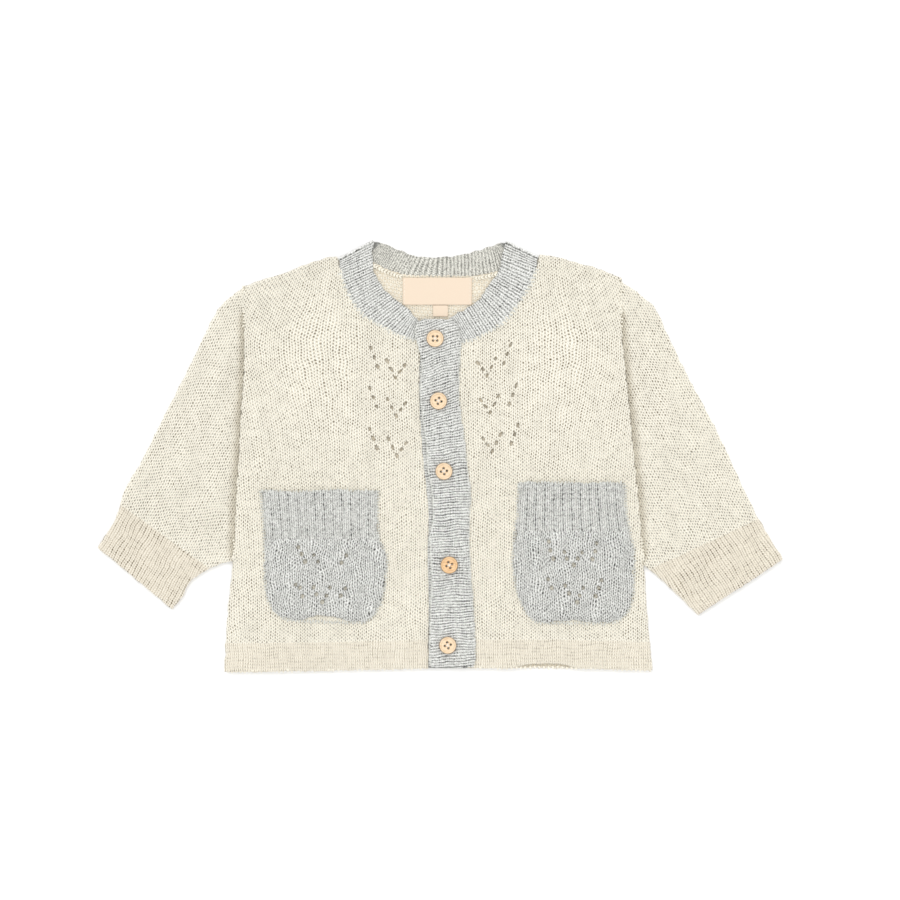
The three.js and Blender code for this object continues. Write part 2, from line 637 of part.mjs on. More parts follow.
// The neckband is one strip. Its sections run from the sewn edge to the free edge. At each
// shoulder it turns over, so the right side is up on the fronts and down on the back.
function neckband() {
  const frontZ = FRONT_Z + CLOTH / 2;
  const backZ = CLOTH / 2;
  const turnRadius = (frontZ - backZ) / 2;
  const up = new THREE.Vector3(0, 0, 1);
  const sections = [];
  // Rows of a table with the height of the sewn edge, just off the neckline.
  const sewn = (rows, neckline) =>
    rows.map((row) => {
      const x = row.seamX;
      const slope = (neckline(x + 0.2) - neckline(x - 0.2)) / 0.4;
      const step = CURVED_GAP / Math.hypot(1, slope);
      return { ...row, seamX: x - slope * step, seamY: neckline(x) + step };
    });
  const spline = (rows, kind, z) =>
    new THREE.CatmullRomCurve3(
      rows.map((row) => new THREE.Vector3(row[kind + "X"], row[kind + "Y"], z)),
      false,
      "centripetal",
    );
  const run = (rows, ribs, z, face) => {
    const seam = spline(rows, "seam", z);
    const free = spline(rows, "free", z);
    for (const share of shares(2 * ribs)) {
      const deep = groove(ribs * share);
      const lift = z > FRONT_Z ? drape(...seam.getPoint(share).toArray().slice(0, 2)) : 0;
      const raise = up.clone().multiplyScalar(lift);
      sections.push({
        seam: seam.getPoint(share).add(raise),
        free: free.getPoint(share).add(raise),
        normal: up.clone().multiplyScalar(face),
        deep,
      });
    }
  };
  const turn = (fold, downwards) => {
    const seam = new THREE.Vector3(fold.seamX, fold.seamY, 0);
    const free = new THREE.Vector3(fold.freeX, fold.freeY, 0);
    const away = new THREE.Vector3().subVectors(free, seam).normalize();
    const out = new THREE.Vector3(-away.y, away.x, 0);
    if (out.y < 0) out.negate();
    for (const share of [0.2, 0.5, 0.8]) {
      const angle = Math.PI * (downwards ? share : 1 - share);
      const normal = new THREE.Vector3()
        .addScaledVector(out, Math.sin(angle))
        .addScaledVector(up, Math.cos(angle));
      const centre = normal.clone().multiplyScalar(turnRadius);
      centre.z += (frontZ + backZ) / 2;
      sections.push({
        seam: seam.clone().add(centre),
        free: free.clone().add(centre),
        normal,
        deep: 0,
      });
    }
  };
  const { right, left } = SHOULDER_FOLD;
  const rightPart = sewn(NECK_RIGHT, frontTop(-1)).reverse();
  const backPart = sewn(NECK_BACK, backTop);
  const leftPart = sewn(NECK_LEFT, frontTop(1));
  run([...rightPart, right], NECK_RIBS.front, frontZ, 1);
  turn(right, true);
  run([right, ...backPart, left], NECK_RIBS.back, backZ, -1);
  turn(left, false);
  run([left, ...leftPart], NECK_RIBS.front, frontZ, 1);
  // Each section is a ring of six points with rounded long edges. A groove is cut from the
  // side that faces up.
  const ringOf = ({ seam, free, normal, deep }) => {
    const away = new THREE.Vector3().subVectors(free, seam).normalize();
    const outer = CLOTH / 2 - (normal.z > 0 ? deep : 0);
    const inner = CLOTH / 2 - (normal.z < 0 ? deep : 0);
    const at = (base, inset, height) =>
      base.clone().addScaledVector(away, inset).addScaledVector(normal, height);
    return [
      at(seam, 0, 0),
      at(seam, RIM, outer),
      at(free, -RIM, outer),
      at(free, 0, 0),
      at(free, -RIM, -inner),
      at(seam, RIM, -inner),
    ];
  };
  const rings = sections.map(ringOf);
  const triangles = [];
  for (let r = 1; r < rings.length; r++) {
    for (let k = 0; k < 6; k++) {
      const next = (k + 1) % 6;
      triangles.push([rings[r - 1][k], rings[r][next], rings[r][k]]);
      triangles.push([rings[r - 1][k], rings[r - 1][next], rings[r][next]]);
    }
  }
  const cap = (ring) => [1, 2, 3, 4].map((k) => [ring[0], ring[k], ring[k + 1]]);
  triangles.push(...flipped(cap(rings[0])), ...cap(rings[rings.length - 1]));
  return closed(triangles);
}

// A front band as a bar of six long lines: two edges at half height, and two lines each on the
// upper face and the underside. With ribs, grooves run across the upper face.
function band(table, ribbed, baseZ) {
  const low = through(table, "y", "low");
  const high = through(table, "y", "high");
  const bottom = table[0].y;
  const top = table[table.length - 1].y;
  const ribs = Math.round((top - bottom) / RIB_PITCH);
  const line = (steps, xAt, zAt) =>
    shares(steps).map((share) => {
      const y = mix(bottom, top, share);
      const x = xAt(y);
      return new THREE.Vector3(x, y, baseZ + zAt(share) + drape(x, y));
    });
  const fine = ribbed ? 2 * ribs : BAND_STEPS;
  const crest = (share) => CLOTH - (ribbed ? groove(ribs * share) : 0);
  const lines = [
    line(BAND_STEPS, low, () => CLOTH / 2),
    line(fine, (y) => low(y) + RIM, crest),
    line(fine, (y) => high(y) - RIM, crest),
    line(BAND_STEPS, high, () => CLOTH / 2),
    line(BAND_STEPS, (y) => high(y) - RIM, () => 0),
    line(BAND_STEPS, (y) => low(y) + RIM, () => 0),
  ];
  const triangles = lines.flatMap((near, k) => between(near, lines[(k + 1) % lines.length]));
  const cap = (ring) => [1, 2, 3, 4].map((k) => [ring[0], ring[k], ring[k + 1]]);
  const first = lines.map((points) => points[0]);
  const last = lines.map((points) => points[points.length - 1]);
  return closed(flipped([...triangles, ...cap(first), ...flipped(cap(last))]));
}

// The button band lies edge to edge with the right front.
function buttonBand() {
  const hem = through(HEM_LINE, "x", "y");
  const seamSide = (y) => bandSeam(y) + GAP;
  const heights = [hem(0), 20, 45, 75, 100, 121, 150, 190, 215];
  const hidden = heights.map((y) => ({ y, high: leftFrontEdge(y) - UNDERLAP_GAP }));
  const table = [...hidden, ...BUTTON_BAND_NECK].map((row) => ({ ...row, low: seamSide(row.y) }));
  return band(table, false, FRONT_Z);
}

// A patch pocket that lies on its front. Its upper part is ribbed.
function pocket(table) {
  const low = through(table, "y", "low");
  const high = through(table, "y", "high");
  const bottom = table[0].y;
  const top = table[table.length - 1].y;
  const ribFrom = top - POCKET_RIB.height;
  const ribs = Math.round((high(top) - low(top)) / POCKET_RIB.pitch);
  const across = (y, steps) => rowBetween(low(y), high(y), y, steps);
  const ribbed = [ribFrom, mix(ribFrom, top, 0.5), top - RIM];
  const rows = [
    ...POCKET_RISES.map((rise) => both(across(bottom + rise, 6))),
    ...ribbed.map((y) => ({ top: across(y, 2 * ribs), bottom: across(y, 6) })),
    both(across(top, 6)),
  ];
  const under = (x, y) => BAND_Z + drape(x, y);
  const upper = (x, y, rim) => {
    const share = (x - low(y)) / (high(y) - low(y));
    const deep = !rim && y >= ribFrom ? groove(ribs * share) : 0;
    return BAND_Z + CLOTH - deep + drape(x, y);
  };
  return sheet(rows, under, upper);
}

// A turned wooden button with a raised rim, a shallow dish and four holes.
function button(turn) {
  const radius = BUTTON.across / 2;
  const floor = BUTTON.thick - BUTTON.dish;
  const profile = [
    [0, 0],
    [radius - 0.8, 0],
    [radius, BUTTON.thick * 0.45],
    [radius - 0.4, BUTTON.thick],
    [radius - BUTTON.rim - 0.4, floor],
    [0, floor],
  ];
  const lathe = new THREE.LatheGeometry(
    profile.map(([r, z]) => new THREE.Vector2(r, z)),
    BUTTON.sides,
  );
  lathe.deleteAttribute("normal");
  lathe.deleteAttribute("uv");
  lathe.rotateX(Math.PI / 2);
  const reach = BUTTON.spread / Math.SQRT2;
  const holes = [0, 90, 180, 270].map((step) => ({
    x: reach * Math.cos(radians(step + turn)),
    y: reach * Math.sin(radians(step + turn)),
    wide: BUTTON.hole,
    long: BUTTON.hole,
    turn: 0,
  }));
  return pierced(lathe, holes, 6);
}

// A flat woven label that lies on the back.
function label(size) {
  const heights = [size.bottom, size.bottom + RIM, size.top - RIM, size.top];
  const rows = heights.map((y) => both(rowBetween(size.low, size.high, y, 4)));
  return sheet(rows, () => FRONT_Z, () => FRONT_Z + size.thick);
}

const cloth = (colour) =>
  new THREE.MeshStandardMaterial({ color: colour, roughness: 0.95, metalness: 0 });

const cardigan = new THREE.Group();
function add(name, geometry, material) {
  geometry.computeVertexNormals();
  const mesh = new THREE.Mesh(geometry, material);
  mesh.name = name;
  cardigan.add(mesh);
  return mesh;
}

const cream = cloth(CREAM);
const grey = cloth(GREY);
const wood = new THREE.MeshStandardMaterial({ color: WOOD, roughness: 0.55, metalness: 0 });
const woven = cloth(TAPE_COLOUR);

add("back_panel", backPanel(), cream);
add("front_right", frontPanel(-1, bandSeam), cream);
add("front_left", frontPanel(1, leftFrontEdge), cream);
add("sleeve_right", sleeve(-1, RIGHT_SLEEVE), cream);
add("sleeve_left", sleeve(1, LEFT_SLEEVE), cream);
add("neckband", neckband(), grey);
add("button_band", buttonBand(), grey);
add("buttonhole_band", band(TOP_BAND, true, BAND_Z), grey);
add("pocket_right", pocket(RIGHT_POCKET), grey);
add("pocket_left", pocket(LEFT_POCKET), grey);
BUTTONS.forEach(({ x, y, turn }, i) => {
  const disc = add(`button_${i + 1}`, button(turn), wood);
  disc.position.set(x, y, BUTTON_Z + drape(x, y));
});
add("size_tag", label(TAG), woven);
add("neck_tape", label(TAPE), woven);

// The origin is the middle of the underside of the whole garment's box.
const box = new THREE.Box3().setFromObject(cardigan, true);
const middle = box.getCenter(new THREE.Vector3());
cardigan.position.set(-middle.x, -middle.y, -box.min.z);

export default cardigan;
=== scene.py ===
import math

import bpy
import numpy as np
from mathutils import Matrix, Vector, kdtree
from mathutils.geometry import delaunay_2d_cdt


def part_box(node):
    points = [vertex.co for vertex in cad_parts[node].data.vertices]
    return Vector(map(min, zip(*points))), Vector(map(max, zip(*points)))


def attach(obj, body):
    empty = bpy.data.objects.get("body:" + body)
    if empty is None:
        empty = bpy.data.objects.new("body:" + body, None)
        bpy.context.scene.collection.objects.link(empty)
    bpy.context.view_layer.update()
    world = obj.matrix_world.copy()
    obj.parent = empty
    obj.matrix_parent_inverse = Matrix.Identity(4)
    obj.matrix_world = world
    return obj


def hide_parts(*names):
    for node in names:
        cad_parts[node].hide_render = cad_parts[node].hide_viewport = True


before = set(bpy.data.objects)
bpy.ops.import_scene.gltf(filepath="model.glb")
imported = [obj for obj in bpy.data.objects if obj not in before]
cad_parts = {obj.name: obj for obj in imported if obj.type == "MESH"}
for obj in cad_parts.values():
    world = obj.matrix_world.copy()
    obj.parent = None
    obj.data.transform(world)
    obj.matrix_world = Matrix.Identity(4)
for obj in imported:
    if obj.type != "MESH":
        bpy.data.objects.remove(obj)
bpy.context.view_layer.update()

MM = 0.001

# Driving dimensions
CLOTH = 2.0  # thickness of the knitted wall
GAP = 0.3  # space between layers
CURVED_GAP = 0.45  # space along the armholes and the neckline
FRONT_Z = CLOTH + GAP
BAND_Z = FRONT_Z + CLOTH + GAP
BUTTON_Z = BAND_Z + CLOTH + GAP
SIDE_Z = FRONT_Z - GAP / 2  # height of the seams between back and front
HEM_RIB = 19.5  # height of the ribbed hem
SLEEVE_HOLLOW = 0.5  # space inside a flattened sleeve
SLEEVE_PUFF = 1.6  # extra height in the middle of a sleeve
SLEEVE_RIM = 2.2  # reach of the fine points along a sleeve's outline
ARMHOLE_SHARE = 0.12  # share of a sleeve over which it turns to lie along the armhole
TUCK = 1.2  # how far a sleeve goes under the body
TUCK_SHARE = 0.04  # share of a sleeve over which it is drawn under
WALE = 3.03  # width of a stitch
COURSE = 2.2  # height of a stitch
SLEEVE_WALE = 2.9  # the same on the sleeves, across the slanted lines
SLEEVE_COURSE = 2.33
SLEEVE_TURNS = {-1: (61, -39), 1: (122, 37)}  # directions of these lines, in degrees
CUFF_PITCH = 3.25  # width of a rib
# The two ends of the line at which each cuff starts
CUFF_LINE = {-1: ((-217, 114), (-160, 73)), 1: ((217, 104.5), (152.3, 74.5))}
BAND_PITCH = 3.7
POCKET_PITCH = 5.9  # width of a broad rib
RIB_COURSE = 1.55  # height of a stitch in the bands and the cuffs
POCKET_COURSE = 1.7
LEAN = 1.5  # how many courses a leg rises from the middle of its stitch to the side
STITCH_DEEP = 0.75  # relief of the stitches
RIM = 1.0  # reach of the rounding of an edge
FINE = (6, 3)  # cells of the mesh in one stitch, across and along
PLAIN_STEP = 9.0  # space between the points of a plain underside
SEAM_UNDER = 1.3  # how far a front goes under the neckband
SEAM_OVER = 0.7  # how far the body goes over the sleeves
ARMHOLE = (77.0, 263.0)  # heights between which the armholes run
ARMHOLE_OPEN = slice(6, 180)  # rows of the armhole's line where the front draws back
VALLEY = 0.9  # how far it draws back there
VALLEY_DEEP = 1.3  # how far the sleeve sinks beside it
VALLEY_WIDE = (0.8, 6.5)  # distances from the body between which the sunken face rises
VALLEY_ENDS = (72, 82, 236, 253)  # heights over which the valley comes in and fades out
VALLEY_DARK = (4.4, 2.3)  # distances from the body up to which painted shade lies on the wool, light, then deep
SINK_MOST = 1.4  # how far the face of a sleeve may sink before it meets its inner face
HEM_LIFT = (72, 19, 3.2)  # middle, reach and height of the place where the front hem is drawn up
FRONT_CORNER = 240.0  # a height below the upper corners of the fronts
BACK_CORNER = 270.0  # the same for the back
FRONT_NECK = {-1: (-68.2, -14.5), 1: (11.5, 65.8)}  # part of each top under the neckband
NECK_STITCHES = {-1: (-68.0, -14.5), 1: (11.5, 65.8)}  # part of it with seam stitches
BACK_NECK_SPAN = (-67, 65)
BACK_SEEN = (-66, 64, 220)  # sides and bottom of the part of the back that shows in the neck
NECK_RIBS = (21, 32)  # ribs of the neckband on each front and on the back
NECK_COURSES = (14, 9)  # its courses on the fronts and on the back
SIDE_NAME = {-1: "right_", 1: "left_"}

BODY_SIDES = dict(
    y=[0, 41, 75, 112, 147, 175, 208, 238, 264.5, 284],
    low=[-146.6, -144.2, -140.8, -139.6, -137.6, -136, -133.9, -133.7, -133.9, -133.9],
    high=[144.6, 140.6, 138.5, 136.2, 132.6, 130, 126.4, 123.8, 123.2, 123.2],
)
HEM_LINE = dict(x=[-147, -74, 0, 66, 145], y=[0, 1.2, 2.6, 2.8, 1.2])
RIGHT_SHOULDER = dict(x=[-134, -126, -107, -90, -69.8], y=[261.4, 265.0, 270.6, 277.2, 282.6])
LEFT_SHOULDER = dict(x=[67.6, 89, 110, 123.2], y=[283.8, 279.3, 273.2, 267.4])
BACK_NECK = dict(
    x=[-68.6, -57, -44.4, -36.6, -24, 3.4, 21, 39.4, 54, 66.6],
    y=[279, 278.8, 277.4, 273.6, 269.9, 268.5, 268.9, 272, 277.4, 280],
)
RIGHT_FRONT_NECK = dict(
    x=[-68.2, -65.3, -62.1, -57.4, -51.1, -41.8, -32.4, -23, -14],
    y=[272.8, 264.5, 256.2, 248.3, 241.5, 235.9, 230.6, 226.9, 225.2],
)
LEFT_FRONT_NECK = dict(
    x=[11, 18.2, 25, 33.3, 41.6, 49.9, 56.2, 61.4, 66],
    y=[222.6, 224.4, 226.8, 230.6, 236.4, 245, 254, 263, 274.6],
)
TOP_BAND = dict(
    y=[3.6, 11, 44, 62, 90, 106, 121, 137, 154, 192, 209, 220, 230, 236.4, 239.8],
    low=[-6.4, -7, -6.3, -5.6, -7, -4.6, -5.2, -8, -9.2, -13.4, -12.4, -14.2, -16.8, -16.2, -12.6],
    high=[22.8, 24, 22.6, 21.2, 19.8, 19.8, 20.9, 18.5, 16.9, 12.8, 13.1, 13.9, 13.4, 12.0, 8.8],
)
BUTTON_BAND_SEAM = dict(
    y=[0, 48, 80, 106, 121, 151, 190, 238],
    x=[-8.2, -8, -8.8, -8, -9.2, -12.4, -14.4, -13.4],
)
BAND_LAP = 2.4
UNDERLAP_GAP = 1.5
RIGHT_SLEEVE = dict(
    over=dict(
        at=[0, 0.05, 0.13, 0.2, 0.38, 0.52, 0.66, 0.78, 0.86, 1],
        x=[-134.3, -138.4, -150.3, -158.4, -175.4, -188, -202, -214.9, -219.6, -232.6],
        y=[262.2, 259.2, 247, 231.9, 197.2, 172.7, 144.8, 121.7, 106, 85],
    ),
    under=dict(
        at=[0, 0.3, 0.5, 0.66, 0.78, 0.88, 1],
        x=[-141.1, -146.8, -157.1, -165.9, -171, -174.6, -181.8],
        y=[75.5, 74.4, 70, 64.9, 59.4, 52, 43],
    ),
)
LEFT_SLEEVE = dict(
    over=dict(
        at=[0, 0.035, 0.07, 0.14, 0.22, 0.38, 0.56, 0.7, 0.8, 0.88, 1],
        x=[123.6, 130, 136.7, 146.9, 154.4, 167, 184, 197.2, 206.6, 218.4, 233.2],
        y=[267, 263.4, 257.8, 246.2, 229.8, 204, 172, 144.8, 124, 101, 76.8],
    ),
    under=dict(
        at=[0, 0.4, 0.66, 0.82, 1],
        x=[138.8, 146.6, 154.6, 161.8, 175.4],
        y=[72.8, 66, 59.2, 51.9, 39.1],
    ),
)
SHOULDER_FOLD = {-1: (-67.6, 280.0, -44.8, 292.0), 1: (65.6, 281.0, 44.2, 291.6)}
NECK_RIGHT = dict(
    seamX=[-68.2, -65.3, -62.1, -57.4, -51.1, -41.8, -32.4, -23, -14],
    freeX=[-46, -44.9, -42.3, -38, -32, -25.2, -19.6, -15.8, -13.7],
    freeY=[282.6, 273.6, 266.6, 260.4, 254.8, 249.8, 244.2, 240.4, 238.4],
)
NECK_BACK = dict(
    seamX=[-57, -44.4, -36.6, -24, 3.4, 21, 39.4, 54],
    freeX=[-41.6, -36.2, -28.8, -16.8, 3.4, 20.8, 35.2, 41.2],
    freeY=[292, 290.4, 287, 283, 281.9, 285.2, 289.4, 291.8],
)
NECK_LEFT = dict(
    seamX=[65.8, 61.4, 56.2, 49.9, 41.6, 33.3, 25, 18.2, 11],
    freeX=[42, 40.2, 36, 31, 27, 21.4, 13.6, 8.4, 5],
    freeY=[283, 273.4, 266.6, 260, 253.6, 248.9, 244.8, 241.8, 239.6],
)
RIGHT_POCKET = dict(
    y=[35.4, 37.6, 46, 58, 79, 93, 111, 123.4],
    low=[-99, -106.6, -115, -117.8, -118.8, -119.3, -120.4, -121.8],
    high=[-54, -47.6, -41.2, -38.2, -38.4, -42.4, -42.8, -42.4],
)
LEFT_POCKET = dict(
    y=[33.8, 35.6, 44, 56, 75.5, 99, 116, 129],
    low=[70, 63.6, 57.6, 52.4, 51, 52.2, 53.2, 53.8],
    high=[113, 121, 128, 131, 130.8, 127.4, 125.4, 124.6],
)
POCKETS = {-1: RIGHT_POCKET, 1: LEFT_POCKET}
POCKET_RIB = 33.0  # height of its ribbed top
BUTTONS = [  # x, y, turn in degrees
    (-3.3, 226.6, 45),
    (-1.0, 184.3, 78),
    (2.7, 136.6, 8),
    (6.3, 73.0, 20),
    (5.3, 18.6, 12),
]
# Folds: x, y, direction in degrees, reach along, reach across, height
FRONT_FOLDS = [
    (-86, 188, 78, 62, 26, 0.9),
    (84, 184, 100, 58, 25, 0.8),
    (-124, 131, 118, 11, 4, 0.9),
    (-129, 168, 92, 72, 8, 1.7),
    (123, 172, 86, 72, 8, 1.7),
    (73, 3, 0, 24, 10, 1.7),
    (-100, 6, 4, 26, 12, 0.5),
    (-80, 66, 90, 30, 26, 0.7),
    (92, 66, 90, 32, 26, 0.8),
    (4, 98, 90, 24, 16, 0.6),
    (0, 206, 90, 14, 14, 0.4),
]
SLEEVE_FOLDS = [
    (165.4, 57.6, 129, 11, 2.2, -2.6),
    (173.4, 100.6, 125, 15, 3.2, -1.0),
    (-193, 105.4, 55, 9, 2.4, -0.9),
    (-139.5, 178, 92, 88, 6.5, -2.3),
    (132, 182, 87, 88, 6.5, -2.3),
    (167, 55, -50, 16, 4, -0.9),
    (176, 106, 35, 12, 5, 0.6),
    (-196, 118, 50, 20, 7, 0.5),
    (-168, 84, 20, 14, 6, -0.5),
    (160, 96, -20, 16, 7, -0.4),
]
# Lace of the fronts: side, then out and top of the leg's and of the V's first hole
LACE_ROWS = [
    (-1, 47.0, 220.3, 36.0, 211.5),
    (-1, 47.6, 193.1, 35.6, 185.6),
    (-1, 47.6, 165.2, 35.0, 158.6),
    (1, 48.0, 222.6, 37.8, 213.0),
    (1, 51.7, 194.8, 39.8, 187.8),
    (1, 53.0, 168.0, 41.2, 161.6),
]
# Steps from hole to hole, out and up, and the count of holes
LEG_STEP = (-2.3, -6.3, 3)
VEE_DOWN = (-2.9, -5.7, 3)
VEE_UP = (-3.1, 4.2, 2)
EYELET = (2.7, 4.4)  # width and length of the largest hole
# Lace of the pockets: x, y and width of each hole
RIGHT_POCKET_LACE = [
    (-96.2, 85, 3.2), (-93.9, 80.4, 3.4), (-91.5, 75.3, 3.6), (-85.5, 79.8, 2.4),
    (-82.8, 75.3, 2.6), (-66.9, 74.6, 3.2), (-63.6, 79.5, 3.0), (-97.9, 59.6, 2.8),
    (-94.9, 57.7, 3.0), (-93.3, 51.8, 3.4), (-85.7, 58, 3.0), (-83.8, 53.1, 3.2),
    (-79.9, 47.9, 3.4), (-77, 52.2, 3.0), (-74.7, 57.7, 2.8), (-67.3, 52.2, 3.2),
    (-64.3, 57.1, 3.0),
]
LEFT_POCKET_LACE = [
    (73.9, 88.9, 3.0), (74.9, 82.9, 3.2), (76.8, 77.4, 3.4), (84.5, 81.8, 3.0),
    (86, 77.4, 3.2), (90.8, 73, 3.6), (93.5, 77.4, 3.2), (96.3, 81.4, 2.8),
    (106.3, 87.7, 3.0), (105.3, 82.3, 3.2), (103.4, 77, 3.4), (73.4, 63.4, 3.0),
    (75.8, 57.5, 3.4), (84.9, 59, 3.0), (87.6, 53.8, 3.2), (93.1, 47.9, 3.6),
    (94.8, 52.3, 3.0), (97.2, 57.5, 2.8), (109.6, 62.7, 3.0), (107.5, 57.5, 3.2),
    (105.6, 51.9, 3.4),
]


def through(table, a, b):
    """A smooth function from one column of a table to another that never overshoots its rows."""
    xs = np.array(table[a], float)
    ys = np.array(table[b], float)
    span = np.diff(xs)
    secant = np.diff(ys) / span
    slope = np.empty_like(xs)
    slope[0] = secant[0]
    slope[-1] = secant[-1]
    product = secant[:-1] * secant[1:]
    total = secant[:-1] + secant[1:]
    safe = np.where(product > 0, total, 1)
    slope[1:-1] = np.where(product > 0, 2 * product / safe, 0)

    def value(at):
        at = np.clip(np.asarray(at, float), xs[0], xs[-1])
        i = np.clip(np.searchsorted(xs, at, side="left") - 1, 0, len(xs) - 2)
        t = (at - xs[i]) / span[i]
        ease = t * t * (3 - 2 * t)
        bend = t * (1 - t) * span[i] * (slope[i] * (1 - t) - slope[i + 1] * t)
        return ys[i] + (ys[i + 1] - ys[i]) * ease + bend

    return value


def joined(*tables):
    return {key: sum((list(t[key]) for t in tables), []) for key in tables[0]}


hem = through(HEM_LINE, "x", "y")
body_low = through(BODY_SIDES, "y", "low")
body_high = through(BODY_SIDES, "y", "high")
body_edge = {-1: body_low, 1: body_high}
back_top = through(joined(RIGHT_SHOULDER, BACK_NECK, LEFT_SHOULDER), "x", "y")
front_top = {
    -1: through(joined(RIGHT_SHOULDER, RIGHT_FRONT_NECK), "x", "y"),
    1: through(joined(LEFT_FRONT_NECK, LEFT_SHOULDER), "x", "y"),
}
band_seam = through(BUTTON_BAND_SEAM, "y", "x")
band_low = through(TOP_BAND, "y", "low")
band_high = through(TOP_BAND, "y", "high")

# The frame has its origin in the middle of the garment's box.
back_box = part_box("back_panel")
SHIFT_X = back_box[0][0] / MM - BODY_SIDES["low"][0]
SHIFT_Y = back_box[0][1] / MM - float(hem(BODY_SIDES["low"][0]))


def left_front_edge(y):
    return band_high(np.minimum(y, 225)) - BAND_LAP


def smooth(a, b, x):
    t = np.clip((x - a) / (b - a), 0, 1)
    return t * t * (3 - 2 * t)


def folds_at(folds, x, y):
    height = 0
    for fx, fy, turn, long, wide, lift in folds:
        c, s = math.cos(math.radians(turn)), math.sin(math.radians(turn))
        along = ((x - fx) * c + (y - fy) * s) / long
        across = ((y - fy) * c - (x - fx) * s) / wide
        height = height + lift * np.exp(-along * along - across * across)
    return height


def drape(x, y):
    return np.maximum(0, folds_at(FRONT_FOLDS, x, y))


def resampled(line, step):
    """Points at even steps along a line, without its last point."""
    line = np.asarray(line, float)
    run = np.concatenate([[0], np.cumsum(np.hypot(*np.diff(line, axis=0).T))])
    count = max(1, round(run[-1] / step))
    at = np.linspace(0, run[-1], count + 1)[:-1]
    return np.column_stack([np.interp(at, run, line[:, 0]), np.interp(at, run, line[:, 1])])


def along_x(function, start, end, count=200):
    x = np.linspace(start, end, count)
    return np.column_stack([x, function(x)])


def along_y(function, start, end, count=200):
    y = np.linspace(start, end, count)
    return np.column_stack([function(y), y])


def ring_of(*sides, step=1.3):
    return np.vstack([resampled(side, step) for side in sides])


def oval(x, y, wide, long, turn, sides=12):
    a = np.linspace(0, 2 * math.pi, sides, endpoint=False)
    c, s = math.cos(math.radians(turn)), math.sin(math.radians(turn))
    px, py = wide / 2 * np.cos(a), long / 2 * np.sin(a)
    return np.column_stack([x + px * c - py * s, y + px * s + py * c])


def crossed(points, starts, ends):
    """Which points lie inside the loops whose edges run from starts to ends."""
    order = np.argsort(points[:, 1])
    x, y = points[order, 0], points[order, 1]
    odd = np.zeros(len(points), bool)
    low = np.searchsorted(y, np.minimum(starts[:, 1], ends[:, 1]), side="left")
    high = np.searchsorted(y, np.maximum(starts[:, 1], ends[:, 1]), side="left")
    for k in np.flatnonzero(high > low):
        i, j = low[k], high[k]
        (x0, y0), (x1, y1) = starts[k], ends[k]
        odd[i:j] ^= x[i:j] < x0 + (y[i:j] - y0) * (x1 - x0) / (y1 - y0)
    result = np.zeros(len(points), bool)
    result[order] = odd
    return result


def inside(points, loops):
    """Which points lie inside the first loop and outside the others."""
    return crossed(points, np.vstack(loops), np.vstack([np.roll(loop, -1, axis=0) for loop in loops]))


def nearest(points, others):
    """Distance of each point to the nearest of the others."""
    tree = kdtree.KDTree(len(others))
    for i, (x, y) in enumerate(others):
        tree.insert((x, y, 0), i)
    tree.balance()
    return np.array([tree.find((x, y, 0))[2] for x, y in points])


def distances(points, loops):
    """Distance of each point to the nearest loop."""
    return nearest(points, np.vstack([resampled(np.vstack([loop, loop[:1]]), 0.25) for loop in loops]))


def distance_to(points, *lines, step=0.3):
    """Distance of each point to the nearest of some open lines."""
    rows = [part for line in lines for part in (resampled(line, step), line[-1:])]
    return nearest(points, np.vstack(rows))


def twice_area(ring):
    """Twice the area inside a ring, below zero where it runs clockwise."""
    return np.sum(ring[:, 0] * np.roll(ring[:, 1], -1) - np.roll(ring[:, 0], -1) * ring[:, 1])


def outward(ring):
    """Unit normals of a closed ring that point away from its inside."""
    ahead = np.roll(ring, -1, axis=0) - np.roll(ring, 1, axis=0)
    ahead /= np.maximum(np.hypot(ahead[:, 0], ahead[:, 1]), 1e-9)[:, None]
    turn = 1 if twice_area(ring) > 0 else -1
    return np.column_stack([ahead[:, 1], -ahead[:, 0]]) * turn


def pushed(ring, line, amount):
    """The ring moved outwards where it runs along a line."""
    share = (distance_to(ring, line) < 0.6).astype(float)
    for _ in range(2):
        share = (np.roll(share, 1) + share + np.roll(share, -1)) / 3
    return ring + outward(ring) * (share * amount)[:, None]


def waves(seed, count, short, long, size):
    """A smooth uneven function of the place, as a sum of slanted waves."""
    rng = np.random.default_rng(seed)
    length = rng.uniform(short, long, count)
    turn = rng.uniform(0, math.pi, count)
    phase = rng.uniform(0, 2 * math.pi, count)
    lift = size * math.sqrt(2 / count)

    def value(x, y):
        total = 0
        for k in range(count):
            along = x * math.cos(turn[k]) + y * math.sin(turn[k])
            total = total + lift * np.sin(2 * math.pi * along / length[k] + phase[k])
        return total

    return value


ripple = waves(3, 16, 9, 30, 0.16)
stray_x = waves(5, 12, 12, 34, 0.32)
stray_y = waves(6, 12, 12, 34, 0.32)
edge_wave = waves(8, 14, 3.2, 14, 0.2)


def uneven(ring, size=1.0):
    """The ring with small uneven waves, as stitches pull at an edge."""
    return ring + outward(ring) * (size * edge_wave(ring[:, 0], ring[:, 1]))[:, None]


def dome(d, reach):
    """A quarter round: 0 at the edge and 1 from reach on."""
    t = 1 - np.clip(d / reach, 0, 1)
    return np.sqrt(np.maximum(0, 1 - t * t))


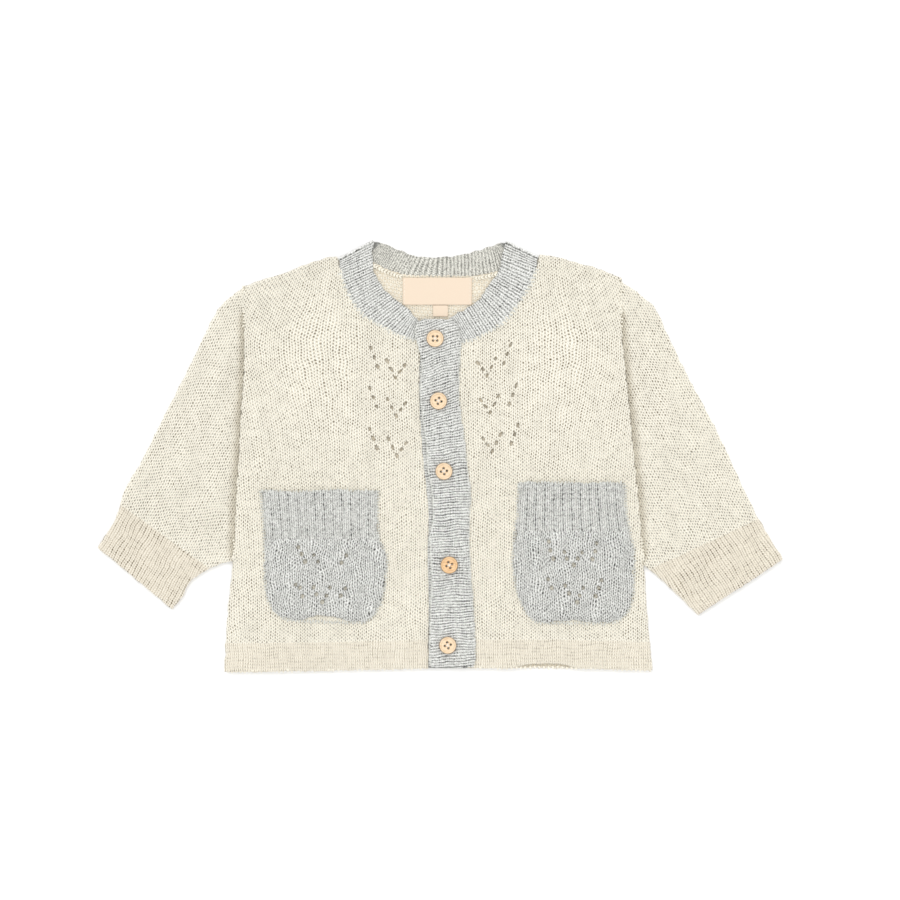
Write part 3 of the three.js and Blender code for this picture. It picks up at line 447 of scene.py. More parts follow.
def grid_of(zone, ring, holes, skip, inset):
    """Grid cells of a zone's stitches that lie inside the ring, with their points and triangles."""
    (x0, y0), (x1, y1) = ring.min(axis=0), ring.max(axis=0)
    edge_x, edge_y = np.meshgrid(np.linspace(x0, x1, 12), np.linspace(y0, y1, 12))
    u, v = zone["uv"](edge_x.ravel(), edge_y.ravel())
    fine = zone["cells"]
    iu = np.arange(math.floor(u.min()) * fine[0], math.ceil(u.max()) * fine[0] + 1)
    iv = np.arange((math.floor(v.min()) - 2) * fine[1], math.ceil(v.max()) * fine[1] + 1)
    gu, gv = np.meshgrid(iu / fine[0], iv / fine[1])
    # The rows of the grid run along the legs of the stitches.
    slant = zone["lean"] * np.abs(2 * (gu % 1) - 1)
    x, y = zone["xy"](gu.ravel(), (gv + slant).ravel())
    points = np.column_stack([x, y])
    good = zone["reach"](x, y) > 0.25
    if skip is not None:
        good &= ~skip(x, y)
    where = np.flatnonzero(good)
    where = where[inside(points[where], [ring])]
    d = distances(points[where], [ring])
    where = where[d > inset]
    if holes:
        d = distances(points[where], holes)
        where = where[(d > 0.45) & inside(points[where], [ring, *holes])]
    good = np.zeros(len(points), bool)
    good[where] = True
    rows, columns = gu.shape
    a = np.arange((rows - 1) * columns).reshape(rows - 1, columns)[:, :-1].ravel()
    b, c, e = a + 1, a + columns + 1, a + columns
    kept = good[a] & good[b] & good[c] & good[e]
    a, b, c, e = a[kept], b[kept], c[kept], e[kept]
    # A cell is cut along the direction of the stitch's leg, which rises away from its middle.
    t0 = np.abs(2 * (gu.ravel()[a] % 1) - 1)
    t1 = np.abs(2 * (gu.ravel()[b] % 1) - 1)
    rise = (t1 > t0)[:, None]
    one = np.where(rise, np.column_stack([a, b, c]), np.column_stack([a, b, e]))
    two = np.where(rise, np.column_stack([a, c, e]), np.column_stack([b, c, e]))
    first_area = np.cross(points[b] - points[a], points[e] - points[a])
    if len(first_area) and np.median(first_area) < 0:
        one, two = one[:, ::-1], two[:, ::-1]
    sides = np.vstack([np.column_stack(p) for p in ((a, b), (b, c), (c, e), (e, a))])
    key = np.sort(sides, axis=1)
    key = key[:, 0] * len(points) + key[:, 1]
    _, first, count = np.unique(key, return_index=True, return_counts=True)
    border = sides[first[count == 1]]
    used = np.unique(np.concatenate([a, b, c, e]))
    number = np.full(len(points), -1)
    number[used] = np.arange(len(used))
    return points[used], number[np.vstack([one, two])], number[border]


def net_of(ring, holes=(), zones=(), skip=None, spacing=6.0, rim=RIM, inset=0.5):
    """Points and triangles of a flat region. The ring's points come first, then the holes'."""
    loops = [ring, *holes]
    points = [*loops]
    edges = []
    start = 0
    for loop in loops:
        i = np.arange(len(loop)) + start
        edges.append(np.column_stack([i, np.roll(i, -1)]))
        start += len(loop)
    fixed = start
    triangles = []
    zone_of = []
    fill_points = [np.arange(fixed)]
    borders = []
    for k, zone in enumerate(zones):
        p, t, border = grid_of(zone, ring, holes, skip, inset)
        points.append(p)
        triangles.append(t + start)
        zone_of.append(np.full(len(t), k))
        edges.append(border + start)
        borders.append(border + start)
        fill_points.append(np.unique(border) + start)
        start += len(p)
    points = np.vstack(points)
    border_edges = np.vstack(borders) if borders else np.zeros((0, 2), int)
    # Points near the rims and, where no stitches are set, in the middle.
    extra = []
    for loop in loops:
        ahead = np.roll(loop, -1, axis=0) - np.roll(loop, 1, axis=0)
        ahead /= np.hypot(ahead[:, 0], ahead[:, 1])[:, None]
        normal = np.column_stack([-ahead[:, 1], ahead[:, 0]])
        size = len(loop)
        turn = 1 if (twice_area(loop) > 0) == (loop is ring) else -1
        for reach in (0.22 * rim, 0.62 * rim):
            extra.append(loop + normal * turn * reach)
        if not zones or skip is not None:
            extra.append((loop + normal * turn * rim * 1.1)[:: max(1, size // 60)])
    low, high = ring.min(axis=0), ring.max(axis=0)
    mesh_x, mesh_y = np.meshgrid(
        np.arange(low[0] + spacing / 2, high[0], spacing),
        np.arange(low[1] + spacing / 2, high[1], spacing),
    )
    extra.append(np.column_stack([mesh_x.ravel(), mesh_y.ravel()]))
    extra = np.vstack(extra)
    extra = extra[inside(extra, loops)]
    if len(extra):
        extra = extra[distances(extra, loops) > 0.18 * rim]
    if len(border_edges) and len(extra):
        extra = extra[~crossed(extra, *points[border_edges.T])]
        extra = extra[nearest(extra, points[np.unique(border_edges)]) > 0.2]
    everything = np.vstack([points, extra])
    chosen = np.concatenate([*fill_points, np.arange(len(points), len(everything))])
    number = np.full(len(everything), -1)
    number[chosen] = np.arange(len(chosen))
    all_edges = number[np.vstack(edges)]
    flat = [Vector(p) for p in everything[chosen].tolist()]
    made, _, faces, origins, _, _ = delaunay_2d_cdt(flat, all_edges.tolist(), [], 0, 1e-6, True)
    index = []
    added = []
    for p, origin in zip(made, origins):
        if origin:
            index.append(chosen[origin[0]])
        else:
            index.append(len(everything) + len(added))
            added.append((p.x, p.y))
    if added:
        everything = np.vstack([everything, added])
    index = np.array(index)
    faces = index[np.array([f for f in faces if len(f) == 3])]
    centres = everything[faces].mean(axis=1)
    wanted = inside(centres, loops)
    if len(border_edges):
        wanted &= ~crossed(centres, *points[border_edges.T])
    faces = faces[wanted]
    a, b, c = everything[faces[:, 0]], everything[faces[:, 1]], everything[faces[:, 2]]
    area = (b[:, 0] - a[:, 0]) * (c[:, 1] - a[:, 1]) - (b[:, 1] - a[:, 1]) * (c[:, 0] - a[:, 0])
    faces[area < 0] = faces[area < 0][:, ::-1]
    faces = faces[np.abs(area) > 1e-7]
    centres = everything[faces].mean(axis=1)
    kind = np.zeros(len(faces), int)
    for k, zone in enumerate(zones):
        kind[zone["reach"](centres[:, 0], centres[:, 1]) > 0] = k
    triangles.append(faces)
    zone_of.append(kind)
    return everything, np.vstack(triangles), np.concatenate(zone_of), fixed


PIECES = {}


def make(name, points, triangles, uv, kinds, materials):
    """A mesh object from points in table millimetres."""
    used, number = np.unique(triangles, return_inverse=True)
    triangles = number.reshape(triangles.shape)
    points = points[used]
    placed = (points + np.array([SHIFT_X, SHIFT_Y, 0])) * MM
    mesh = bpy.data.meshes.new(name)
    mesh.vertices.add(len(placed))
    mesh.vertices.foreach_set("co", placed.astype(np.float32).ravel())
    mesh.loops.add(triangles.size)
    mesh.loops.foreach_set("vertex_index", triangles.astype(np.int32).ravel())
    mesh.polygons.add(len(triangles))
    mesh.polygons.foreach_set("loop_start", np.arange(0, triangles.size, 3, dtype=np.int32))
    mesh.polygons.foreach_set("use_smooth", np.ones(len(triangles), bool))
    for material in materials:
        mesh.materials.append(material)
    if kinds is not None:
        mesh.polygons.foreach_set("material_index", np.asarray(kinds, np.int32))
    layer = mesh.uv_layers.new(name="stitch")
    layer.data.foreach_set("uv", uv.astype(np.float32).ravel())
    mesh.update()
    mesh.validate()
    thing = bpy.data.objects.new(name, mesh)
    bpy.context.scene.collection.objects.link(thing)
    PIECES[name] = thing


def relief_of(zones, kind_points, x, y, uvs):
    """Height below the crest of the stitches of each zone, blended by place."""
    height = np.zeros(len(x))
    for k, zone in enumerate(zones):
        chosen = kind_points == k
        height[chosen] = zone["relief"](*uvs[k][:, chosen], x[chosen], y[chosen])
    return height


def shell(name, ring, crest, under, materials, zones=(), holes=(), skip=None, spacing=6.0,
          rim=RIM, under_kind=0, uv=None, seams=()):
    """A closed wall of cloth. Its upper face has the stitches of its zones. Each seam is a
    line with the height that the edge goes to there and how far in it starts to bend."""
    top, faces, kinds, fixed = net_of(ring, holes, zones, skip, spacing, rim)
    low, low_faces, _, _ = net_of(ring, holes, spacing=PLAIN_STEP, rim=rim)
    loops = [ring, *holes]

    def heights(points):
        x, y = points[:, 0], points[:, 1]
        d = distances(points, loops)
        d[:fixed] = 0
        c, b = crest(x, y), under(x, y)
        mid = (c + b) / 2
        round_off = dome(d, rim)
        for line, level, bend in seams:
            near = 1 - smooth(bend * 0.9, bend * 1.8, distance_to(points, line))
            mid = mid + (level - mid) * near
            round_off = round_off + (smooth(0, bend, d) ** 0.7 - round_off) * near
        return x, y, d, c, b, mid, round_off

    x, y, d, c, b, mid, round_off = heights(top)
    z = mid + (c - mid) * round_off
    uvs = [np.array(zone["uv"](x, y)) for zone in zones]
    if zones:
        kind_points = np.zeros(len(x), int)
        for k, zone in enumerate(zones):
            kind_points[zone["reach"](x, y) > 0] = k
        drop = relief_of(zones, kind_points, x, y, uvs)
        z = z - drop * smooth(0.05 * rim, 0.7 * rim, d)
    lx, ly, _, _, lb, lmid, lround = heights(low)
    lz = lmid - (lmid - lb) * lround
    number = np.concatenate([np.arange(fixed), np.arange(len(low) - fixed) + len(top)])
    points = np.vstack([np.column_stack([x, y, z]), np.column_stack([lx, ly, lz])[fixed:]])
    triangles = np.vstack([faces, number[low_faces][:, ::-1]])
    if zones:
        low_uv = np.array(zones[0]["uv"](lx, ly))
        every = [np.hstack([table, low_uv[:, fixed:]]) for table in uvs]
        corner = np.stack([table[:, triangles].transpose(1, 2, 0) for table in every])
        pick = np.concatenate([kinds, np.zeros(len(low_faces), int)])
        corner = corner[pick, np.arange(len(triangles))]
        material = np.array([zone["material"] for zone in zones])[kinds]
    else:
        place = uv or (lambda px, py: (px / WALE, py / COURSE))
        corner = np.stack(place(points[:, 0], points[:, 1]), axis=1)[triangles]
        material = np.zeros(len(faces), int)
    material = np.concatenate([material, np.full(len(low_faces), under_kind)])
    make(name, points, triangles, corner, material, materials)


def solver(du, dv):
    """Maps from places to stitches, and back by steps, for upright stitches that are shifted."""

    def uv(x, y):
        return (x - du(x, y) - stray_x(x, y)) / WALE, (y - dv(x, y) - stray_y(x, y)) / COURSE

    def xy(u, v):
        x, y = u * WALE, v * COURSE
        for _ in range(14):
            x, y = u * WALE + du(x, y) + stray_x(x, y), v * COURSE + dv(x, y) + stray_y(x, y)
        return x, y

    return uv, xy


def oblique(wale_turn, course_turn, wale, course, origin):
    """Maps for a slanted lattice. The turns are in degrees, and pitches are across the lines."""
    w, c = math.radians(wale_turn), math.radians(course_turn)
    skew = abs(math.sin(w - c))
    eu = np.array([math.cos(c), math.sin(c)]) * wale / skew
    ev = np.array([math.cos(w), math.sin(w)]) * course / skew
    m = np.column_stack([eu, ev])
    inv = np.linalg.inv(m)

    def uv(x, y):
        dx, dy = x - stray_x(x, y) - origin[0], y - stray_y(x, y) - origin[1]
        return inv[0, 0] * dx + inv[0, 1] * dy, inv[1, 0] * dx + inv[1, 1] * dy

    def xy(u, v):
        x0, y0 = origin[0] + m[0, 0] * u + m[0, 1] * v, origin[1] + m[1, 0] * u + m[1, 1] * v
        x, y = x0, y0
        for _ in range(12):
            x, y = x0 + stray_x(x, y), y0 + stray_y(x, y)
        return x, y

    return uv, xy


def vee(u, v):
    """Height from 0 to 1 of knitted stitches: two slanted legs to each stitch."""
    t = np.abs(2 * (u % 1) - 1)
    leg = 0.5 + 0.5 * np.cos(2 * math.pi * (v - LEAN * t))
    return np.sin(math.pi * np.clip(t, 0, 1)) ** 0.8 * (0.42 + 0.58 * leg)


def stocking(u, v, x, y):
    return STITCH_DEEP * (0.8 - vee(u, v))


def ribbing(deep, wales=1):
    """Relief of ribs: stitches on the crest of each rib, and a groove between two ribs."""

    def relief(u, v, x, y):
        t = np.abs(2 * (u / wales % 1) - 1)
        return deep * t ** (1.6 * wales) + 0.55 * (0.7 - vee(u, v)) * (1 - 0.5 * t)

    return relief


def purl(u, v, x, y):
    """Relief of purled stitches: rows of small bumps, each row shifted by half a stitch."""
    arc = 0.5 + 0.5 * np.cos(2 * math.pi * (u + 0.5 * np.floor(v)))
    return 0.7 * (0.6 - np.sin(math.pi * (v % 1)) * (0.35 + 0.65 * arc))


def everywhere(x, y):
    return np.full(len(x), 1e3)


def region(maps, relief, reach=everywhere, material=0, cells=FINE, lean=LEAN):
    """A zone with its own stitches, where reach is above 0. The maps lead from places to
    stitches and back."""
    uv, xy = maps
    return dict(uv=uv, xy=xy, relief=relief, reach=reach, material=material, cells=cells, lean=lean)


def face(level):
    """The upper face of a front piece, which follows the folds."""
    return lambda x, y: level + CLOTH + drape(x, y) + ripple(x, y)


def draped(level):
    return lambda x, y: level + drape(x, y)


def strip_ring(low, high, bottom, top, step=1.3):
    """The outline of a strip between two lines."""
    return ring_of(
        np.array([[low(bottom), bottom], [high(bottom), bottom]], float),
        along_y(high, bottom, top),
        np.array([[high(top), top], [low(top), top]], float),
        along_y(low, top, bottom),
        step=step,
    )


class Graph:
    """Short ways to add the nodes of a material."""

    def __init__(self, name):
        self.material = bpy.data.materials.new(name)
        self.material.use_nodes = True
        self.tree = self.material.node_tree
        self.tree.nodes.clear()

    def node(self, kind, settings=(), **inputs):
        node = self.tree.nodes.new(kind)
        for key, value in dict(settings).items():
            setattr(node, key, value)
        for key, value in inputs.items():
            self.put(node.inputs[key.replace("_", " ")], value)
        return node

    def put(self, socket, value):
        if isinstance(value, bpy.types.NodeSocket):
            self.tree.links.new(value, socket)
        elif socket.type == "RGBA":
            socket.default_value = (*value[:3], 1)
        else:
            socket.default_value = value

    def math(self, operation, *values):
        node = self.tree.nodes.new("ShaderNodeMath")
        node.operation = operation
        for socket, value in zip(node.inputs, values):
            self.put(socket, value)
        return node.outputs[0]

    def ramp(self, value, low, high, out_low=0.0, out_high=1.0):
        node = self.node("ShaderNodeMapRange", {"interpolation_type": "SMOOTHSTEP"})
        for socket, number in zip(node.inputs, (value, low, high, out_low, out_high)):
            self.put(socket, number)
        return node.outputs[0]

    def mix(self, share, a, b):
        node = self.node("ShaderNodeMix", {"data_type": "RGBA"})
        self.put(node.inputs[0], share)
        self.put(node.inputs[6], a)
        self.put(node.inputs[7], b)
        return node.outputs[2]

    def noise(self, vector, scale, detail=3.0, rough=0.6):
        node = self.node("ShaderNodeTexNoise", Vector=vector, Scale=scale, Detail=detail)
        self.put(node.inputs["Roughness"], rough)
        return node.outputs["Fac"]

    def finish(self, colour, roughness, bump=None, strength=0.4, distance=0.0004, sheen=0.0):
        shader = self.node("ShaderNodeBsdfPrincipled")
        self.put(shader.inputs["Base Color"], colour)
        self.put(shader.inputs["Roughness"], roughness)
        self.put(shader.inputs["Sheen Weight"], sheen)
        self.put(shader.inputs["Sheen Roughness"], 0.6)
        if bump is not None:
            node = self.node("ShaderNodeBump", Strength=strength, Distance=distance, Height=bump)
            self.tree.links.new(node.outputs[0], shader.inputs["Normal"])
        out = self.node("ShaderNodeOutputMaterial")
        self.tree.links.new(shader.outputs[0], out.inputs[0])
        return self.material


def linear(r, g, b):
    """A colour from its display values of 0 to 255."""
    return tuple((v / 255 / 12.92) if v < 10 else ((v / 255 + 0.055) / 1.055) ** 2.4 for v in (r, g, b))


def yarn_material(name, light, dark, shade, kind="vee", marl=0.0, valley=0.0, dot=1.0, wales=1,
                  every=1, hatch=0.0):
    """Knitted wool. Painted shade in the gaps, painted shade between the slanted legs and on their low
    parts, and twisted plies follow the stitch map. With a valley, columns of stitches have grooves of
    painted shade between them, one for each so many wales."""
    g = Graph(name)
    stitch = g.node("ShaderNodeUVMap", {"uv_map": "stitch"}).outputs[0]
    split = g.node("ShaderNodeSeparateXYZ", Vector=stitch)
    place = g.node("ShaderNodeTexCoord").outputs["Object"]
    wander = g.node("ShaderNodeTexNoise", Vector=place, Scale=420.0, Detail=1.5)
    shift = g.node("ShaderNodeSeparateXYZ", Vector=wander.outputs["Color"])
    u = g.math("ADD", split.outputs[0], g.math("MULTIPLY_ADD", shift.outputs[0], 0.34, -0.17))
    v = g.math("ADD", split.outputs[1], g.math("MULTIPLY_ADD", shift.outputs[1], 0.5, -0.25))
    cell = g.node(
        "ShaderNodeCombineXYZ", X=g.math("FLOOR", split.outputs[0]), Y=g.math("FLOOR", split.outputs[1])
    )
    chance = g.node("ShaderNodeTexWhiteNoise", {"noise_dimensions": "2D"}, Vector=cell.outputs[0])
    chance = chance.outputs["Value"]
    if kind == "purl":
        row = g.math("FLOOR", v)
        u = g.math("ADD", u, g.math("MULTIPLY", row, 0.5))
    fu = g.math("SUBTRACT", g.math("FRACT", u), 0.5)
    fv = g.math("SUBTRACT", g.math("FRACT", v), 0.5)
    t = g.math("ABSOLUTE", g.math("MULTIPLY", fu, 2.0))
    if kind == "purl":
        ridge = g.math("COSINE", g.math("MULTIPLY", fv, 3.1416))
        arc = g.math("COSINE", g.math("MULTIPLY", fu, 4.4))
        height = g.math("MULTIPLY", ridge, arc)
        along, across = fu, fv
    else:
        phase = g.math("SUBTRACT", g.math("ADD", fv, 0.5), g.math("MULTIPLY", t, LEAN))
        leg = g.math("MULTIPLY_ADD", g.math("COSINE", g.math("MULTIPLY", phase, 6.2832)), 0.5, 0.5)
        side = g.math("POWER", g.math("SINE", g.math("MULTIPLY", t, 3.1416)), 0.6)
        height = g.math("MULTIPLY", side, g.math("MULTIPLY_ADD", leg, 0.6, 0.4))
        along, across = t, phase

    def gap_at(du, dv, wide, long):
        """Painted shade in the gap in the middle of a stitch, or in the one between two columns."""
        fx = g.math("SUBTRACT", g.math("FRACT", g.math("ADD", u, du)), 0.5)
        fy = g.math("SUBTRACT", g.math("FRACT", g.math("ADD", v, dv)), 0.5)
        far = g.math("SQRT", g.math(
            "ADD",
            g.math("POWER", g.math("MULTIPLY", fx, wide), 2.0),
            g.math("POWER", g.math("MULTIPLY", fy, long), 2.0),
        ))
        return g.ramp(far, 0.2, 1.2, 1.0, 0.0)

    # Painted shade in the gaps between stitches, stronger or weaker in soft patches and from stitch to
    # stitch
    gap_shade_patches = g.ramp(g.noise(place, 24.0, 3.0), 0.38, 0.62, 0.93, 1.03)
    often = g.math("MULTIPLY", g.math("MULTIPLY_ADD", chance, 0.7, 0.62), gap_shade_patches)
    gap = g.math("MULTIPLY", gap_at(0.0, 0.0, 4.6, 2.5), g.math("MULTIPLY", often, dot))
    second = g.math("MULTIPLY", gap_at(0.5, 0.5, 4.7, 2.6), g.math("MULTIPLY", often, 0.8 * dot))
    painted_shade_share = g.math("MAXIMUM", gap, second)
    # Painted shade between the legs of each stitch
    if hatch:
        between = g.math("MULTIPLY", g.ramp(leg, 0.0, 0.6, 1.0, 0.0), side)
        between = g.math("MULTIPLY", between, g.ramp(g.noise(place, 110.0, 3.0), 0.35, 0.65, 0.7, 1.0))
        painted_shade_share = g.math("MAXIMUM", painted_shade_share, g.math("MULTIPLY", between, hatch))
    # Painted shade in the grooves between ribs, broken at each course
    if valley:
        rib_u = g.math("FRACT", g.math("DIVIDE", u, float(wales)))
        rib_t = g.math("ABSOLUTE", g.math("MULTIPLY_ADD", rib_u, 2.0, -1.0))
        groove = g.ramp(rib_t, 1.0 - 0.5 / wales, 1.0 - 0.1 / wales, 0.0, 1.0)
        beat = g.math("FRACT", g.math("DIVIDE", v, float(every)))
        beat = g.math("ABSOLUTE", g.math("SUBTRACT", beat, 0.5))
        strength = g.ramp(g.noise(place, 95.0, 3.0), 0.36, 0.62, 0.4, 1.0)
        broken = g.math("MULTIPLY", groove, g.ramp(beat, 0.08, 0.36, 1.0, 0.12))
        broken = g.math("MULTIPLY", broken, g.math("MULTIPLY_ADD", chance, 1.1, 0.35))
        broken = g.math("MULTIPLY", broken, g.math("MULTIPLY", strength, valley))
        painted_shade_share = g.math("MAXIMUM", painted_shade_share, broken)
    twist = g.math("ADD", g.math("MULTIPLY", along, 15.0), g.math("MULTIPLY", across, 9.0))
    twist = g.math("MULTIPLY_ADD", g.math("SINE", twist), 0.5, 0.5)
    fibre = g.noise(place, 5200.0, 3.0, 0.7)
    patch = g.noise(place, 45.0, 2.0)
    # Painted shade on the low parts of the legs, lit colour on their crests
    base = g.mix(g.ramp(height, 0.15, 0.75), shade, light)
    base = g.mix(g.math("MULTIPLY", fibre, 0.2), base, shade)
    if marl:
        fleck = g.noise(place, 1000.0, 2.0, 0.5)
        base = g.mix(g.math("MULTIPLY", g.ramp(fleck, 0.5, 0.62), marl), base, dark)
        base = g.mix(g.ramp(fleck, 0.36, 0.46, 0.7, 0.0), base, light)
    base = g.mix(g.math("MULTIPLY", twist, 0.12), base, shade)
    base = g.mix(g.math("MULTIPLY", patch, 0.06), base, shade)
    colour = g.mix(painted_shade_share, base, dark)
    bump = g.math("ADD", g.math("MULTIPLY", height, 0.7), g.math("MULTIPLY", twist, 0.2))
    bump = g.math("ADD", bump, g.math("MULTIPLY", fibre, 0.5))
    return g.finish(colour, 0.92, bump, 0.55, 0.0004, 0.2)


def plain_material(name, light, dark, scale):
    """Plain thread."""
    g = Graph(name)
    place = g.node("ShaderNodeTexCoord").outputs["Object"]
    grain = g.noise(place, scale, 4.0)
    return g.finish(g.mix(grain, light, dark), 0.8, grain, 0.3, 0.0002)


def wood_material(name, light, dark):
    """Pale turned wood with a fine grain, with painted shade in a ring and at the rim. Its map runs from
    the middle to the rim.
    """
    g = Graph(name)
    turned = g.node("ShaderNodeUVMap", {"uv_map": "stitch"}).outputs[0]
    radius = g.node("ShaderNodeSeparateXYZ", Vector=turned).outputs[0]
    place = g.node("ShaderNodeTexCoord").outputs["Object"]
    stretched = g.node("ShaderNodeMapping", Vector=place)
    stretched.inputs["Scale"].default_value = (0.22, 1.0, 1.0)
    stretched.inputs["Rotation"].default_value = (0.0, 0.0, 0.5)
    grain = g.noise(stretched.outputs[0], 1600.0, 5.0, 0.65)
    broad = g.noise(stretched.outputs[0], 300.0, 3.0)
    colour = g.mix(g.ramp(grain, 0.35, 0.7), light, dark)
    colour = g.mix(g.math("MULTIPLY", broad, 0.3), colour, linear(214, 172, 124))
    # Painted shade: a darker ring on the slope of the dish, and a dark brown rim where the button meets
    # the band
    away = g.math("ABSOLUTE", g.math("SUBTRACT", radius, 0.76))
    colour = g.mix(g.ramp(away, 0.0, 0.05, 0.35, 0.0), colour, linear(150, 108, 66))
    colour = g.mix(g.ramp(radius, 0.88, 1.0, 0.0, 0.85), colour, linear(96, 64, 38))
    return g.finish(colour, 0.42, grain, 0.25, 0.0002)


def tape_material(name):
    """A fine woven tape."""
    g = Graph(name)
    stitch = g.node("ShaderNodeUVMap", {"uv_map": "stitch"}).outputs[0]
    split = g.node("ShaderNodeSeparateXYZ", Vector=stitch)
    place = g.node("ShaderNodeTexCoord").outputs["Object"]
    warp = g.math("SINE", g.math("MULTIPLY", split.outputs[0], 46.0))
    weft = g.math("SINE", g.math("MULTIPLY", split.outputs[1], 34.0))
    weave = g.math("MULTIPLY_ADD", g.math("MULTIPLY", warp, weft), 0.5, 0.5)
    cloudy = g.noise(place, 240.0, 3.0)
    colour = g.mix(g.math("MULTIPLY", weave, 0.35), linear(228, 211, 190), linear(210, 189, 167))
    colour = g.mix(g.math("MULTIPLY", cloudy, 0.3), colour, linear(226, 204, 182))
    return g.finish(colour, 0.8, weave, 0.25, 0.0001)


# Each set: lit yarn; dark, used for painted shade in gaps and grooves and for real marl flecks; painted
# shade for the low parts of the legs
CREAM = (linear(255, 254, 243), linear(112, 99, 76), linear(240, 232, 214))
GREY = (linear(255, 255, 252), linear(40, 40, 36), linear(186, 187, 180))
CUFF = (linear(250, 246, 233), linear(108, 95, 72), linear(224, 214, 194))
cream_knit = yarn_material("cream_stocking", *CREAM, hatch=0.42, dot=0.88)
cream_rib = yarn_material("cream_rib", *CUFF, valley=0.55, dot=0.5, hatch=0.42)
cream_cuff = yarn_material(
    "cream_cuff", linear(249, 243, 229), CUFF[1], linear(221, 211, 191), valley=1.15, dot=0.5, hatch=0.42
)
# Painted shade for the valley beside each armhole, light and deep
cream_valley_shade = yarn_material(
    "cream_valley_shade", linear(246, 244, 232), CREAM[1], linear(227, 218, 199), hatch=0.44, dot=0.9
)
cream_valley_deep_shade = yarn_material(
    "cream_valley_deep_shade", linear(230, 226, 211), linear(96, 84, 63), linear(206, 196, 175), hatch=0.48, dot=0.95
)
cream_purl = yarn_material("cream_purl", *CUFF, kind="purl", dot=0.5)
cream_bit = yarn_material("cream_bits", linear(244, 240, 226), CREAM[1], CUFF[2])
grey_knit = yarn_material("grey_stocking", *GREY, marl=0.34, dot=0.95, hatch=0.27)
grey_rib = yarn_material("grey_rib", *GREY, marl=0.34, valley=0.98, dot=0.75, hatch=0.22)
grey_back = yarn_material(
    "grey_back", linear(246, 244, 235), GREY[1], linear(176, 175, 164), marl=0.44, valley=0.55,
    dot=0.6, hatch=0.42
)
# Painted shade for the neckband just beyond each shoulder fold
grey_fold_shade = yarn_material(
    "grey_fold_shade", linear(226, 226, 220), GREY[1], linear(140, 141, 134), marl=0.45, valley=1.1,
    dot=0.9, hatch=0.4
)
grey_broad_rib = yarn_material(
    "grey_broad_rib", linear(254, 254, 250), linear(34, 34, 31), linear(180, 181, 174), marl=0.42,
    valley=1.5, dot=0.7, wales=2, every=2, hatch=0.46
)
grey_bit = yarn_material("grey_bits", linear(226, 227, 221), GREY[1], linear(170, 171, 164), marl=0.3)
wood = wood_material("turned_wood", linear(238, 219, 190), linear(219, 190, 152))
dark_wood = wood_material("turned_wood_orange", linear(238, 205, 160), linear(206, 160, 110))
woven = tape_material("woven_tape")
thread = plain_material("thread", linear(248, 240, 226), linear(214, 202, 184), 4000.0)

# The camera looks straight down, framed as in the photo.
scene = bpy.context.scene
PHOTO_WIDE = 612.0  # millimetres that the picture shows
PHOTO_MIDDLE = (6.8, 151.0)  # the place below the camera
HEIGHT = 2600.0  # of the camera above the floor
SENSOR = 36.0
WORLD_LIGHT = 0.98
camera = bpy.data.objects.new("camera", bpy.data.cameras.new("camera"))
scene.collection.objects.link(camera)
camera.data.sensor_width = SENSOR
camera.data.lens = SENSOR * HEIGHT / PHOTO_WIDE
camera.data.clip_start = 0.1
camera.data.clip_end = 20.0
camera.location = ((PHOTO_MIDDLE[0] + SHIFT_X) * MM, (PHOTO_MIDDLE[1] + SHIFT_Y) * MM, HEIGHT * MM)
scene.camera = camera
scene.view_settings.view_transform = "Standard"

# Lights
world = bpy.data.worlds.new("studio")
world.use_nodes = True
world.node_tree.nodes["Background"].inputs[0].default_value = (1.0, 1.0, 1.0, 1)
world.node_tree.nodes["Background"].inputs[1].default_value = WORLD_LIGHT
scene.world = world


def soft_sun(name, azimuth, elevation, strength, spread):
    """A soft studio light from afar. The azimuth is where it stands, from +X towards +Y."""
    lamp = bpy.data.lights.new(name, "SUN")
    lamp.energy = strength
    lamp.angle = math.radians(spread)
    thing = bpy.data.objects.new(name, lamp)
    a, e = math.radians(azimuth), math.radians(elevation)
    source = Vector((math.cos(a) * math.cos(e), math.sin(a) * math.cos(e), math.sin(e)))
    thing.location = source * 2
    thing.rotation_euler = source.to_track_quat("Z", "Y").to_euler()
    scene.collection.objects.link(thing)


soft_sun("key", 118, 57, 0.9, 34)
soft_sun("fill", -40, 50, 0.35, 60)

# The floor
floor_mesh = bpy.data.meshes.new("floor")
floor_mesh.from_pydata([(-4, -4, 0), (4, -4, 0), (4, 4, 0), (-4, 4, 0)], [], [(0, 1, 2, 3)])
floor = bpy.data.objects.new("floor", floor_mesh)
scene.collection.objects.link(floor)
floor.location.z = -0.0002
floor_mesh.materials.append(Graph("floor").finish((0.94, 0.94, 0.94), 0.9))


# Body panels
def front_ring(side):
    """The outline of one front, without its eyelets."""
    low, high = (body_low, band_seam) if side < 0 else (left_front_edge, body_high)
    top = front_top[side]
    x0, x1 = float(low(0.0)), float(high(0.0))
    top_low, top_high = float(top(low(FRONT_CORNER))), float(top(high(FRONT_CORNER)))
    ring = ring_of(
        along_x(hem, x0, x1),
        along_y(high, float(hem(x1)), top_high),
        along_x(top, float(high(top_high)), float(low(top_low))),
        along_y(low, top_low, float(hem(x0))),
        step=1.0,
    )
    ring = pushed(ring, along_x(top, *FRONT_NECK[side]), SEAM_UNDER)
    ring = pushed(ring, armhole_line(side)[ARMHOLE_OPEN], -VALLEY)
    ring = pushed(ring, armhole_line(side), SEAM_OVER)
    if side < 0:
        ring = pushed(ring, along_y(band_seam, 6, 222), 0.5)
    else:
        at_hem = ring[:, 1] < hem(ring[:, 0]) + 1
        middle, reach, lift = HEM_LIFT
        ring[:, 1] += at_hem * lift * np.exp(-((ring[:, 0] - middle) / reach) ** 4)
    return uneven(ring)


def armhole_line(side):
    return along_y(body_edge[side], *ARMHOLE)


